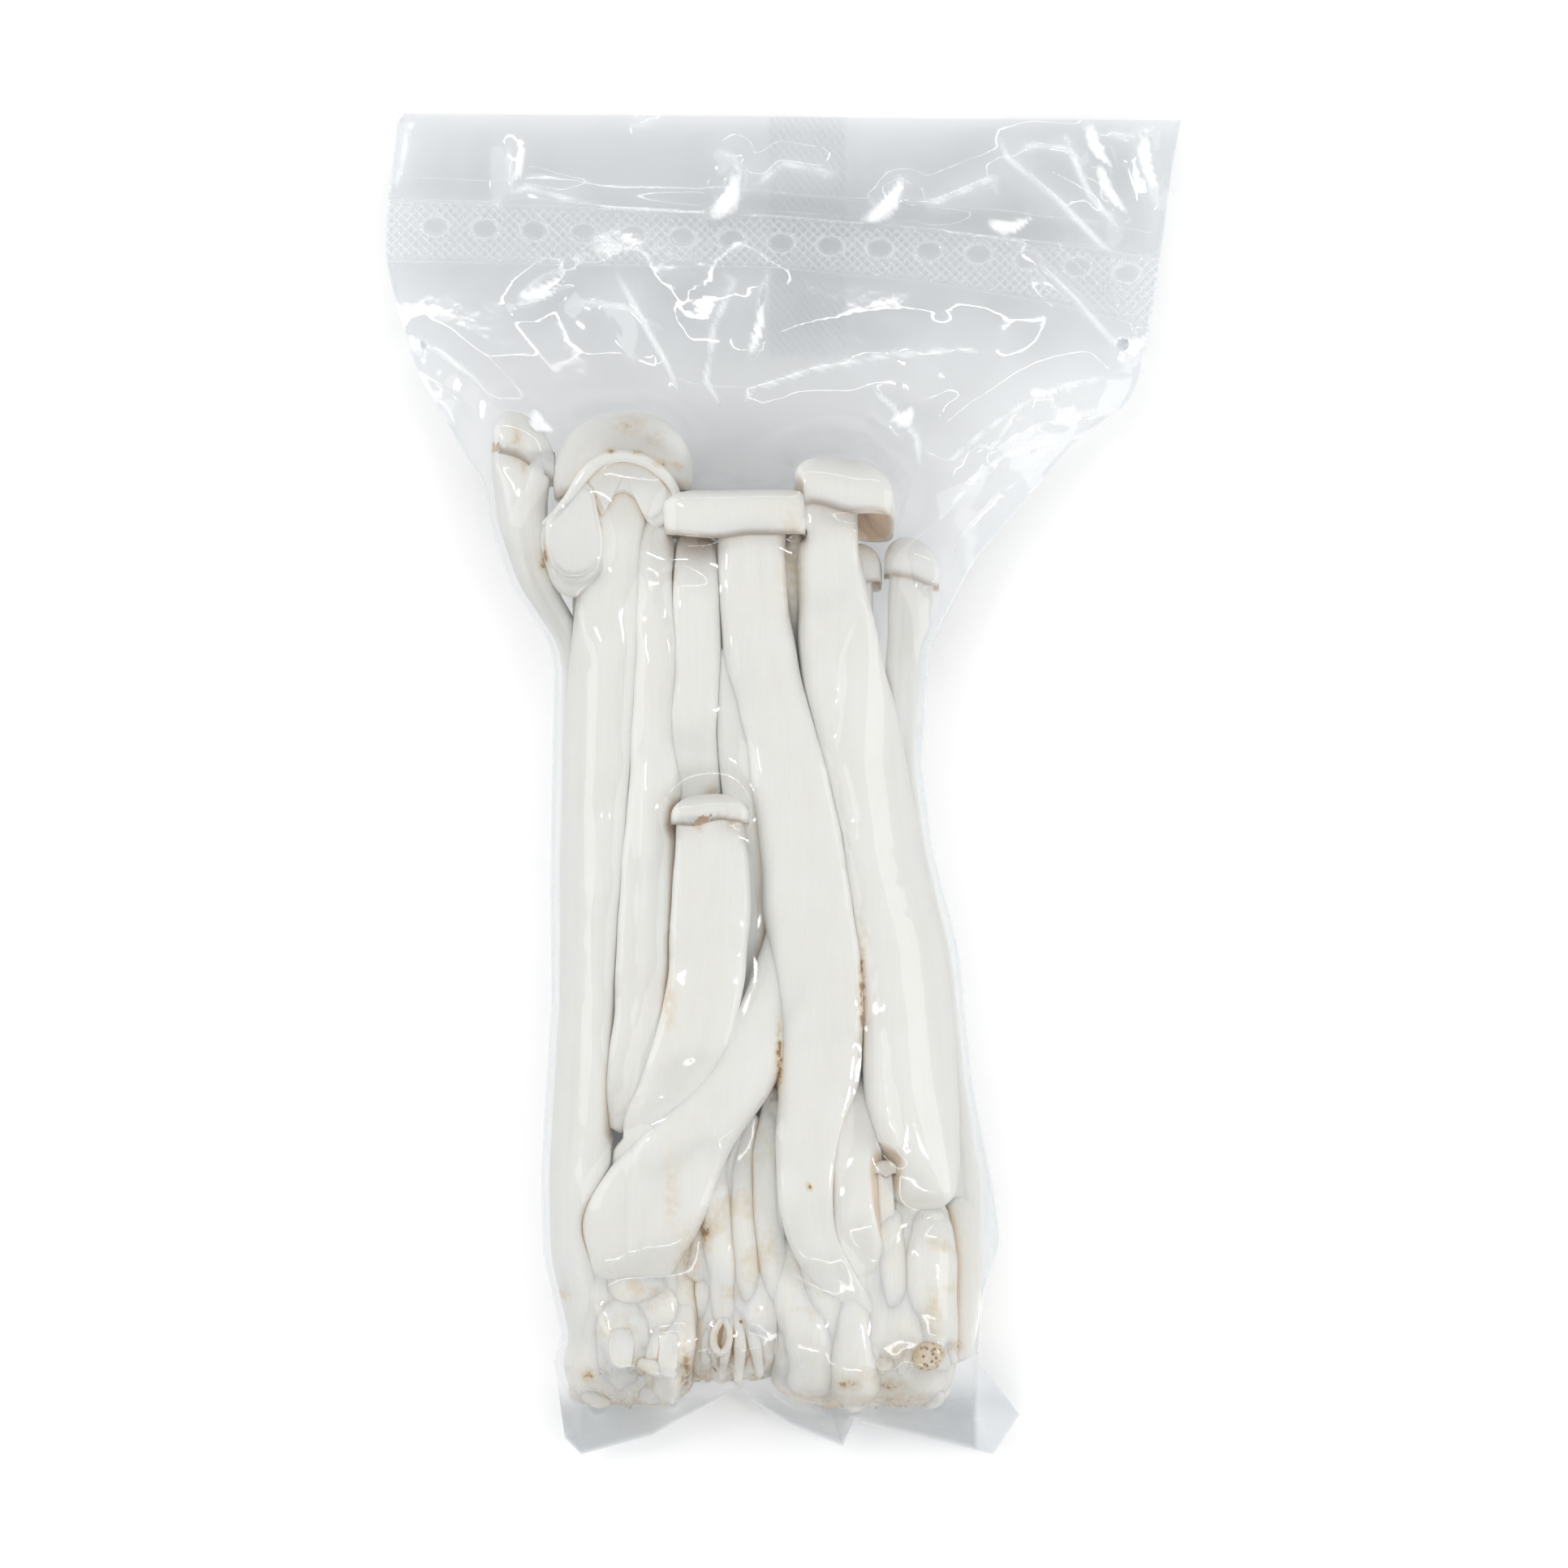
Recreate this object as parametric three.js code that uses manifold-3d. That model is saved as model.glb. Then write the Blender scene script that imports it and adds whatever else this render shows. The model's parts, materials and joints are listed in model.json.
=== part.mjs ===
// A vacuum pouch of long-stemmed white shimeji mushrooms, lying on its back.
// Millimetres. X is the pouch's width, Y runs from the cut feet to the pouch's mouth,
// and Z is up from the surface that the pouch lies on.
import * as THREE from 'three';
import Module from 'manifold-3d';

const wasm = await Module();
wasm.setup();

// Driving dimensions of the pouch
const FILM_THICKNESS = 0.6;
const FILM_CLEARANCE = 0.45;
const SEAM_GAP = 0.3;
const REST_SAG = 1.4;
const TOP_EDGE = 102.2;
const TOP_SLANT = 0.5;
const BODY_END = -88;
const FILM_COLUMNS = 15;
const BODY_ROWS = 30;
const TAIL_ROWS = 3;
const EDGE_CROWDING = 0.5;

// Driving dimensions of the mushrooms
const CONTENT_FLOOR = 0.95;
const PRESS_GAP = 0.36;
const EDGE_MARGIN = 1.4;
const SIDE_ROUND = 12.5;
const STEM_SIDES = 10;
const PLUMPNESS = 1.06;
const SQUARENESS = 2.5;
const RING_STEP = 8.5;
const LEAST_REACH = 0.5;
const LEAST_SHARE = 0.2;
const LEAST_FACING = 0.02;
const FIT_TRIALS = 12;
const FOOT_GAP = 0.3;
const LEAST_CROSSING = 0.001;

// How far the welded sheets stand above the surface
const SEAM_HEIGHT = 13.2;
const MOUTH_HEIGHT = 5;
const TAIL_HEIGHT = 7;
const SHOULDER_Y = 38;

// The film is drawn tight over what it covers
const RASTER = 1;
const FIELD_HALF_X = 70;
const FIELD_HALF_Y = 110;
const SUCTION = 0.11;
const DRAPE_STEPS = 900;
const LIFT_PASSES = 60;

// Side edges of the pouch as [y, x], from the mouth down
const LEFT_EDGE = [
  [102.5, -59], [90, -60.5], [81, -61], [74, -59.5], [63, -56], [50, -48.5], [45.5, -45],
  [40, -44.5], [30.5, -41.7], [22, -36], [18, -35], [-17, -35.6], [-33, -35.4], [-45, -36.2],
  [-60, -37], [-72, -36.7], [-84.5, -33.8], [-88, -35.2],
];
const RIGHT_EDGE = [
  [102.5, 61], [95, 59.5], [75, 56.8], [61, 54], [57.5, 52], [53, 45], [47, 40], [34, 29],
  [26, 24.8], [20.5, 22], [3, 21], [-10, 22.7], [-25, 26.6], [-46, 28.8], [-62, 32], [-70, 33],
  [-78, 30.2], [-88, 29.6],
];
// Bottom edge as [share of the width, x, y]: two ears and a small one, with notches between
const TAIL_EDGE = [
  [0, -33.5, -100], [0.07, -31, -102.5], [0.2, -20, -99.5], [0.4, -7.6, -92.6], [0.53, 1, -98],
  [0.62, 9, -101.2], [0.67, 10.8, -97.4], [0.8, 20, -99.6], [0.93, 32, -102.5], [1, 36, -96.4],
];

// Stems as [x, y, z, half width, half depth], from the foot up
const LEFT_TALL = [
  [-31, -77, 13, 4.2, 5.6], [-32, -66, 15.3, 4.8, 6.4], [-31.5, -54, 17, 5.2, 6.5],
  [-30, -30, 17.6, 4.7, 6.1], [-28.5, -6, 18, 5.1, 6], [-27.8, 8, 18, 5.5, 6],
  [-26.6, 21, 18, 5.2, 5.8], [-25.4, 34, 17.8, 4.4, 5.4], [-25, 46, 17, 3.7, 4.8],
];
const LEFT_LOBE = [
  [-30.6, 28, 21, 2.6, 3], [-31.3, 32, 21, 4.2, 4], [-31.2, 38, 20.5, 4.4, 4.4],
  [-29.5, 44, 19, 4.6, 4.8], [-27, 49, 17.5, 4.6, 4.6],
];
const LEFT_SLIM = [
  [-24.8, -53, 19, 1.4, 2.2], [-23.3, -45, 19, 3, 4], [-21.6, -35, 19, 3.9, 5.4],
  [-21, -23, 19, 3.8, 5.9], [-19.8, 3, 19.2, 3.2, 6], [-18.8, 20, 19.3, 3.2, 5.9],
  [-19.6, 33, 18, 2.7, 5], [-20.3, 40, 13.5, 2.4, 3.6], [-20.5, 43, 11, 2.3, 3.2],
];
const MID_SLIM = [
  [-12.2, -52, 12.5, 2, 2.5], [-12.4, -35, 13.6, 3, 2.8], [-12.6, -17, 14.6, 3.2, 3.2],
  [-13.4, -4, 17.5, 3.4, 4.6], [-13.7, 8, 20, 3.4, 5.7], [-13, 20, 20, 3.2, 5.8],
  [-13.4, 31, 18, 3.2, 4.8], [-13.2, 37, 12, 2.8, 3.6], [-12.6, 41, 9.5, 2.5, 3.2],
];
const CENTER = [
  [6.5, -76, 16.5, 3.4, 5.6], [3.9, -67, 18.5, 4, 6.4], [3.5, -59, 19.6, 4.3, 6.7],
  [5.4, -43, 20, 5.8, 6.6], [5.6, -31, 20, 6.2, 6.6], [4.4, -22, 20, 6.5, 6.6],
  [2.9, -8, 20, 6, 6.6], [0, 5, 20, 5.3, 6.4], [-3.2, 17, 20, 5.2, 6.1], [-4.6, 28, 20, 4.7, 5.8],
  [-5.2, 40, 19.6, 4.4, 5.4],
];
const CENTER_TWIN = [
  [-7.6, -36, 14, 1.6, 2.4], [-6.4, -28, 15, 2.6, 3.5], [-5, -16, 16.6, 3, 4.6],
  [-5.6, -3, 18.4, 3.3, 5.4], [-6.9, 8, 19.5, 3.3, 5.7], [-6.6, 22, 19.8, 3, 5],
];
const CENTER_BRANCH = [
  [-24, -73, 17, 5.4, 5.2], [-21.2, -67, 19, 6.8, 6.5], [-15, -57.5, 20, 6.4, 6.6],
  [-9.7, -48, 20, 5.7, 6.4], [-4.6, -39, 20, 5, 6.2], [0, -30, 20, 4.4, 6], [3, -22, 20, 3.4, 5],
];
const FRONT_SHORT = [
  [-31.5, -71, 18, 2.4, 3], [-28, -66, 19.8, 4, 4.6], [-22.5, -59, 21, 4.9, 5.3],
  [-17, -49.5, 21.8, 5, 5.4], [-13.6, -40, 22, 5.1, 5.3], [-11.9, -30, 22.3, 5.1, 5],
  [-11, -18, 22.6, 4.9, 4.9], [-10.8, -4.5, 23, 3.8, 4.3],
];
const RIGHT_TALL = [
  [21.2, -65, 18.5, 3.8, 4.6], [20.4, -56, 19.4, 5.7, 6.3], [19.5, -45, 19.5, 6.8, 6.6],
  [18.8, -33, 19.5, 7, 6.6], [17.2, -21, 19.5, 6.6, 6.5], [13.8, -4, 19.5, 6.2, 6.3],
  [9.9, 13, 19.5, 6.1, 6.2], [7.8, 24, 19.5, 5.2, 5.9], [6.7, 36, 19.2, 4.2, 5.5],
  [6.8, 43, 19, 3.9, 5.2],
];
const RIGHT_EDGE_STEM = [
  [27, -85, 9, 1.9, 2.4], [26.9, -72, 10, 2.7, 3.2], [26.4, -60, 10.5, 3.1, 3.6],
  [24.2, -36, 11, 3.2, 3.8], [20.4, -15, 11.4, 3, 3.7], [18.2, 2, 12, 2.6, 3.5],
  [18.6, 16, 12, 2.5, 3.4], [19.2, 31, 12, 2.4, 3.2],
];
const LEFT_EDGE_STEM = [
  [-32.8, -50, 10.5, 1.7, 2.2], [-32.4, -25, 11, 2, 2.8], [-31.8, 4, 11.4, 2, 3],
  [-31.9, 15, 12.4, 2, 3], [-33.9, 23, 13.2, 2.2, 3], [-38, 31, 13.2, 3.4, 4],
  [-40, 39, 13.4, 3.3, 4], [-39.8, 49, 13.6, 2.3, 3.1],
];
const BACK_FAR_LEFT = [
  [-26.5, -77, 8, 5, 5.6], [-27, -50, 7.4, 5.4, 5.8], [-27.4, -20, 7, 5.2, 5.6],
  [-27, 5, 7, 4.8, 5.4], [-28, 22, 7.6, 3.9, 4.9], [-29, 33, 8.2, 3.3, 4.3],
];
const BACK_LEFT = [
  [-16, -75, 7.6, 5, 5.6], [-16.4, -50, 7, 5.3, 5.7], [-17, -20, 6.8, 5.2, 5.6],
  [-17.4, 0, 6.8, 4.8, 5.3], [-17.5, 12, 7, 4, 4.7], [-17.5, 21, 7.2, 3.4, 4.3],
];
const BACK_MID = [
  [-5, -74, 7.6, 5, 5.6], [-5.4, -50, 7, 5.3, 5.7], [-5.6, -22, 6.8, 5.2, 5.6],
  [-4, 0, 6.8, 4.6, 5.3], [-1.5, 18, 7.6, 3.7, 4.7], [1, 32, 8.6, 3.2, 4.2], [1, 39.5, 8.8, 3, 4],
];
const BACK_RIGHT = [
  [7, -76, 7.6, 5.2, 5.6], [6.4, -50, 7, 5.4, 5.7], [6.4, -22, 6.8, 5, 5.5],
  [7.4, -2, 6.8, 4.5, 5.2], [9.2, 15, 7.2, 3.7, 4.6], [9.8, 32, 8.4, 3, 4],
];
const BACK_FAR_RIGHT = [
  [17, -73, 7.6, 4.8, 5.6], [16.8, -50, 7, 5, 5.6], [16.4, -22, 6.8, 4.5, 5.4],
  [15, -4, 6.8, 3.9, 4.9], [14.5, 10.5, 7.2, 3.3, 4.3],
];
const CUT_STEM = [
  [10.2, -76, 16, 2.6, 4], [10.8, -66, 17, 3.4, 4.6], [10.7, -57, 16.6, 3.1, 4.4],
  [10.9, -48, 14.6, 1.8, 2.8],
];
const YOUNG_LEFT = [
  [-9.8, -77, 17, 3, 4.4], [-9.4, -68, 18.6, 3, 4.6], [-7.6, -59, 18.6, 2.2, 3.9],
  [-4.8, -50, 17.6, 1.4, 2.8],
];
const YOUNG_RIGHT = [
  [-3, -77, 16.8, 2.8, 4.4], [-2.6, -67, 18.6, 2.7, 4.6], [-2, -57, 18.6, 2.1, 3.9],
  [-0.6, -47, 17.6, 1.4, 2.8],
];
const PIN_STEM = [
  [15.6, -68, 20.5, 1.2, 1.6], [15.4, -63, 22, 1.1, 1.4], [15.2, -58.6, 22.4, 1, 1.2],
];
const SPONGY_STUB = [
  [21.2, -86.8, 17.5, 3, 3.4], [20.4, -80, 17.5, 3.6, 4.6], [19.8, -70, 17.2, 3.2, 4.4],
];
const ROUND_STUB = [
  [14.4, -88, 19.5, 2.3, 2.6], [14.2, -82, 18.5, 2.7, 3.6],
];
const RING_STUB = [
  [-9.6, -87, 20, 1.9, 2.4], [-9.4, -80, 19, 2.3, 3.6],
];
const FLAT_PIECE_LEFT = [
  [-24, -90, 18.5, 3.6, 3.6], [-24.4, -83, 19.5, 4, 4.4], [-24.5, -76, 18, 3, 4],
];
const FLAT_PIECE_RIGHT = [
  [-17.5, -92, 17, 3, 3.8], [-17.4, -86, 19.4, 3.6, 4.6], [-16.8, -77, 18, 2.8, 4],
];

// Lumps of torn base, from the cut side up
const BASE_LEFT = [
  [-23.6, -94.4, 11.5, 6.2, 5.6], [-24.3, -90.5, 12.3, 9, 9], [-24.6, -84, 12.8, 10, 10.6],
  [-25.4, -76, 12.8, 9, 10.4], [-26, -70, 13, 7.4, 9], [-26.5, -65, 12.5, 4.5, 6],
];
const BASE_MIDDLE = [
  [-8, -90.6, 12, 5, 5], [-8.2, -86.5, 12.8, 7.4, 9], [-8.4, -78, 13, 7.6, 10.6],
  [-8.6, -70, 13, 6.6, 9.6], [-8.6, -63, 12.5, 4.4, 6.4],
];
const BASE_RIGHT = [
  [12, -94.6, 11.5, 9, 5.6], [12, -91, 12.4, 12.4, 9.2], [12.2, -84, 12.8, 13.4, 10.8],
  [12.8, -75, 12.8, 12.6, 10.4], [14, -68, 13, 10.5, 9.4], [15.5, -60, 12.5, 6, 6.4],
];

// Caps: centre x and z, the margin's y and the crown's y, half width and depth,
// bluntness of the crown, tilt of the margin and how far the gills stand
const cap = (x, z, margin, crown, width, depth, blunt = 2.2, tilt = 0, gill = 0.7) => (
  { x, z, margin, crown, width, depth, blunt, tilt, gill }
);

// One limb is a stem with its cap, or a lump. Limbs of one node are one piece of flesh
const limb = (node, rows, more = {}) => ({ node, rows, cap: null, foot: 'round', lump: false, ...more });

const LIMBS = [
  limb('mushroom_left_tall', LEFT_TALL, { cap: cap(-24.8, 17, 43.5, 56, 9.4, 6.4, 2.4, 0.05) }),
  limb('mushroom_left_tall', LEFT_LOBE, { sides: 12 }),
  limb('mushroom_left_slim', LEFT_SLIM, { cap: cap(-20.5, 8.6, 42, 48, 4.6, 3.4) }),
  limb('mushroom_mid_slim', MID_SLIM, { cap: cap(-12.4, 8, 39, 44, 4, 3.4) }),
  limb('mushroom_center', CENTER, { cap: cap(-6.6, 19.4, 37.4, 44.6, 10.6, 6.4, 6, 0.01) }),
  limb('mushroom_center', CENTER_TWIN),
  limb('mushroom_center', CENTER_BRANCH),
  limb('mushroom_front_short', FRONT_SHORT, { cap: cap(-11.4, 23.2, -7.6, -1.4, 5.4, 4.6, 3) }),
  limb('mushroom_right_tall', RIGHT_TALL, { cap: cap(8.8, 19, 39.4, 49, 7.2, 6.4, 2.3, -0.12, 0.9) }),
  limb('mushroom_right_edge', RIGHT_EDGE_STEM, { cap: cap(19.4, 12, 29.5, 37, 3.9, 3.9), beside: true }),
  limb('mushroom_left_edge', LEFT_EDGE_STEM, { cap: cap(-39.2, 14, 46.8, 55.2, 3.7, 4) }),
  limb('mushroom_back_far_left', BACK_FAR_LEFT, { cap: cap(-29.2, 8.8, 31, 38.5, 5.2, 4.6) }),
  limb('mushroom_back_left', BACK_LEFT, { cap: cap(-17.5, 7.6, 19, 26.5, 5.8, 4.8) }),
  limb('mushroom_back_mid', BACK_MID, { cap: cap(0.8, 8.4, 37, 43.6, 5.4, 4.4) }),
  limb('mushroom_back_right', BACK_RIGHT, { cap: cap(10, 8.6, 30, 36.6, 3.9, 4) }),
  limb('mushroom_back_far_right', BACK_FAR_RIGHT, { cap: cap(14.6, 7.6, 8, 15, 4.8, 4.6) }),
  limb('stem_cut', CUT_STEM, { foot: 'cut' }),
  limb('base_left', BASE_LEFT, { lump: true, sides: 16 }),
  limb('base_left', FLAT_PIECE_LEFT, { foot: 'cut', stub: true }),
  limb('base_left', FLAT_PIECE_RIGHT, { foot: 'cut', stub: true }),
  limb('base_middle', BASE_MIDDLE, { lump: true, sides: 16 }),
  limb('base_middle', YOUNG_LEFT),
  limb('base_middle', YOUNG_RIGHT),
  limb('base_middle', RING_STUB, { foot: 'cut', stub: true }),
  limb('base_right', BASE_RIGHT, { lump: true, sides: 18 }),
  limb('base_right', PIN_STEM, { cap: cap(15.3, 22.4, -59.4, -57, 1.6, 1.6, 2.2, 0, 0.2), sides: 8 }),
  limb('base_right', SPONGY_STUB, { foot: 'cut', stub: true }),
  limb('base_right', ROUND_STUB, { foot: 'cut', stub: true }),
];

const CREAM = 0xf1ede3;
const COLOURS = {
  base_left: 0xe6dcc4, base_middle: 0xe2d5b8, base_right: 0xe6dac0, stem_cut: 0xeee7d8,
};
const FLESH_ROUGHNESS = 0.55;
const FILM_COLOUR = 0xdfe5ea;
const FILM_ROUGHNESS = 0.1;

// Straight interpolation in a list of [position, value] that runs down in position
function along(list, position) {
  for (let k = 1; k < list.length; k += 1) {
    const [p0, v0] = list[k - 1];
    const [p1, v1] = list[k];
    if (position >= p1 || k === list.length - 1) {
      const t = THREE.MathUtils.clamp((position - p0) / (p1 - p0), 0, 1);
      return v0 + (v1 - v0) * t;
    }
  }
  return list[0][1];
}

const leftEdge = (y) => along(LEFT_EDGE, y);
const rightEdge = (y) => along(RIGHT_EDGE, y);
const tailEdge = (x) => along([...TAIL_EDGE].reverse().map(([, px, py]) => [px, py]), x);

// Height of the welded sheets where nothing lies between them
function seamHeight(x, y) {
  const toMouth = THREE.MathUtils.smoothstep(y, SHOULDER_Y, TOP_EDGE);
  const toTail = THREE.MathUtils.smoothstep(-y, -BODY_END - 8, -BODY_END + 14);
  const wave = Math.sin(x * 0.09 + 0.6) * Math.cos(y * 0.05) * 1.1;
  const fin = Math.max(0, x - 24) * 0.12 * (1 - toMouth);
  const body = THREE.MathUtils.lerp(SEAM_HEIGHT, MOUTH_HEIGHT, toMouth);
  return THREE.MathUtils.lerp(body, TAIL_HEIGHT, toTail) + wave * toMouth - fin;
}

// Whether a point has room inside the pouch, whose edges are round where the sheets meet
function insidePouch(x, y, z, grow) {
  const side = Math.min(x - leftEdge(y), rightEdge(y) - x, y - tailEdge(x)) - EDGE_MARGIN + grow;
  if (side <= 0 || z < CONTENT_FLOOR - grow) return false;
  if (side >= SIDE_ROUND) return true;
  return Math.abs(z - seamHeight(x, y)) < Math.sqrt(side * (2 * SIDE_ROUND - side));
}

// Smooth curve through a stem's rows at height y, with slopes from the neighbouring rows
function stemAt(rows, y) {
  const last = rows.length - 1;
  const at = THREE.MathUtils.clamp(y, rows[0][1], rows[last][1]);
  let k = 0;
  while (k < last - 1 && rows[k + 1][1] < at) k += 1;
  const [r0, r1] = [rows[k], rows[k + 1]];
  const span = r1[1] - r0[1];
  const t = (at - r0[1]) / span;
  const slope = (n, column) => {
    const a = rows[Math.max(n - 1, 0)];
    const b = rows[Math.min(n + 1, last)];
    return (b[column] - a[column]) / (b[1] - a[1]);
  };
  const value = (column) => {
    const h00 = (1 + 2 * t) * (1 - t) ** 2;
    const h10 = t * (1 - t) ** 2;
    const h01 = t * t * (3 - 2 * t);
    const h11 = t * t * (t - 1);
    const ends = h00 * r0[column] + h01 * r1[column];
    return ends + span * (h10 * slope(k, column) + h11 * slope(k + 1, column));
  };
  return { x: value(0), z: value(2), width: value(3), depth: value(4) };
}

// The room that a limb takes at height y, its cap reckoned a little longer than it is
function sectionAt(item, y, reserve) {
  const { rows } = item;
  const top = item.cap ? item.cap.crown : rows[rows.length - 1][1];
  if (y < rows[0][1] - reserve || y > top + reserve) return null;
  const stem = stemAt(rows, y);
  if (item.cap && y > item.cap.margin - reserve) {
    const { x, z, width, depth } = item.cap;
    const inCap = y > item.cap.margin;
    return { x: inCap ? x : stem.x, z: inCap ? z : stem.z, width, depth };
  }
  return stem;
}

// Flesh squeezed in the pack has a section between an ellipse and a box with round corners
function reachOf(section, dx, dz) {
  const across = (Math.abs(dx) / (section.width * PLUMPNESS)) ** SQUARENESS;
  const up = (Math.abs(dz) / section.depth) ** SQUARENESS;
  return (across + up) ** (-1 / SQUARENESS);
}

// Which limbs press on each other: lumps only on lumps and on stems beside them
function presses(item, other) {
  if (item.node === other.node) return false;
  const rooted = Boolean(item.lump || item.stub);
  const otherRooted = Boolean(other.lump || other.stub);
  return rooted === otherRooted || Boolean(item.beside || other.beside);
}

// Torn flesh of a lump: long ribs and hollows that run with the fibres
function tornScale(item, y, turn) {
  if (!item.lump) return 1;
  const ribs = Math.sin(turn * 5 + y * 0.2) * 0.05;
  const tears = Math.sin(turn * 7 - y * 0.4 + item.rows[0][0]) * 0.035;
  return 1 + ribs + tears;
}

// Distance from a limb's axis to its skin, flattened where a neighbour, the surface or the pouch's edge is
function pressedReach(item, section, y, dx, dz, grow) {
  let reach = reachOf(section, dx, dz) * tornScale(item, y, Math.atan2(dz, dx)) + grow;
  const guard = sectionAt(item, y, RING_STEP) ?? section;
  for (const other of LIMBS) {
    if (!presses(item, other)) continue;
    const theirs = sectionAt(other, y, RING_STEP);
    if (!theirs) continue;
    const ax = theirs.x - section.x;
    const az = theirs.z - section.z;
    const apart = Math.hypot(ax, az);
    const facing = (ax * dx + az * dz) / apart;
    if (facing < LEAST_FACING) continue;
    const mine = reachOf(guard, ax / apart, az / apart);
    const facingReach = reachOf(theirs, -ax / apart, -az / apart);
    const meeting = (apart + mine - facingReach) / 2;
    const least = apart * LEAST_SHARE;
    const wall = THREE.MathUtils.clamp(meeting, least, apart - least) - PRESS_GAP / 2;
    reach = Math.min(reach, (wall + grow) / facing);
  }
  if (!insidePouch(section.x + dx * reach, y, section.z + dz * reach, grow)) {
    let fits = 0;
    for (let trial = 0; trial < FIT_TRIALS; trial += 1) {
      const half = (fits + reach) / 2;
      if (insidePouch(section.x + dx * half, y, section.z + dz * half, grow)) fits = half;
      else reach = half;
    }
    reach = fits;
  }
  return Math.max(reach, LEAST_REACH);
}

// Ring of points round a limb at height y, shrunk towards the axis by share
function ringAt(item, y, sides, share, grow) {
  const section = sectionAt({ ...item, cap: null }, y, Infinity);
  const ring = [];
  for (let k = 0; k < sides; k += 1) {
    const turn = (k / sides) * Math.PI * 2;
    const dx = Math.cos(turn);
    const dz = Math.sin(turn);
    const reach = pressedReach(item, section, y, dx, dz, grow) * share;
    ring.push([section.x + dx * reach, y, section.z + dz * reach]);
  }
  return ring;
}

// Rings of a cap, from the gills' roots on the stem, out to the rolled margin and over the crown
function capRings(item, stemRing, grow) {
  const { x, z, margin, crown, width, depth, blunt, tilt, gill } = item.cap;
  const sides = stemRing.length * 2;
  const height = crown - margin;
  const belly = margin + height * 0.25;
  const edge = [];
  const roots = [];
  for (let k = 0; k < sides; k += 1) {
    const turn = (k / sides) * Math.PI * 2;
    const dx = Math.cos(turn);
    const dz = Math.sin(turn);
    const section = { x, z, width, depth };
    const reach = pressedReach(item, section, belly, dx, dz, grow);
    edge.push([x + dx * reach, z + dz * reach]);
    const a = stemRing[Math.floor(k / 2)];
    const b = stemRing[Math.ceil(k / 2) % stemRing.length];
    roots.push([(a[0] + b[0]) / 2, (a[2] + b[2]) / 2]);
  }
  const level = (share, y, wave) => edge.map(([ex, ez], k) => {
    const px = roots[k][0] + (ex - roots[k][0]) * share;
    const pz = roots[k][1] + (ez - roots[k][1]) * share;
    return [px, y + (k % 2 ? wave : -wave) + (px - x) * tilt, pz];
  });
  const dome = (t) => edge.map(([ex, ez]) => {
    const share = (1 - t ** blunt) ** (1 / blunt);
    const px = x + (ex - x) * share;
    return [px, belly + (crown - belly) * t + (px - x) * tilt, z + (ez - z) * share];
  });
  const rings = [
    level(0.5, margin + height * 0.22, gill),
    level(0.84, margin + height * 0.08, gill * 0.4),
    level(0.96, margin, 0),
  ];
  for (const t of [0, 0.45, 0.78, 0.94]) rings.push(dome(t));
  return rings;
}

// Closed skin over rings that follow each other, where a ring may have twice the points of the one before
function skin(rings, startPole, endPole) {
  const points = [];
  const faces = [];
  const starts = rings.map((ring) => {
    const start = points.length;
    points.push(...ring);
    return start;
  });
  for (let n = 1; n < rings.length; n += 1) {
    const [a, b] = [starts[n - 1], starts[n]];
    const count = rings[n - 1].length;
    const doubled = rings[n].length === count * 2;
    for (let k = 0; k < count; k += 1) {
      const next = (k + 1) % count;
      if (doubled) {
        const after = (2 * k + 2) % (2 * count);
        faces.push([a + k, b + 2 * k + 1, b + 2 * k]);
        faces.push([a + k, a + next, b + 2 * k + 1]);
        faces.push([a + next, b + after, b + 2 * k + 1]);
      } else {
        faces.push([a + k, b + next, b + k]);
        faces.push([a + k, a + next, b + next]);
      }
    }
  }
  const first = points.length;
  points.push(startPole);
  rings[0].forEach((_, k) => faces.push([first, (k + 1) % rings[0].length, k]));
  const last = points.length;
  points.push(endPole);
  const end = starts[starts.length - 1];
  const size = rings[rings.length - 1].length;
  for (let k = 0; k < size; k += 1) faces.push([last, end + k, end + ((k + 1) % size)]);
  return { points, faces };
}

// Faces are turned to point out, judged by the volume that they enclose
function faceOut({ points, faces }) {
  let volume = 0;
  for (const [a, b, c] of faces) {
    const [p, q, r] = [points[a], points[b], points[c]];
    volume += new THREE.Vector3(...p).dot(new THREE.Vector3(...q).cross(new THREE.Vector3(...r)));
  }
  return { points, faces: volume < 0 ? faces.map(([a, b, c]) => [a, c, b]) : faces };
}

// Heights of a limb's rings: on shared levels, closer together near a rounded end
function ringLevels(item) {
  const low = item.rows[0][1];
  const high = item.rows[item.rows.length - 1][1];
  const levels = [];
  const step = item.lump ? RING_STEP / 2 : RING_STEP;
  for (let n = Math.ceil(low / step); n * step < high; n += 1) {
    const y = n * step;
    if (y > low + step * 0.35 && y < high - step * 0.35) levels.push(y);
  }
  return levels;
}

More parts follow.
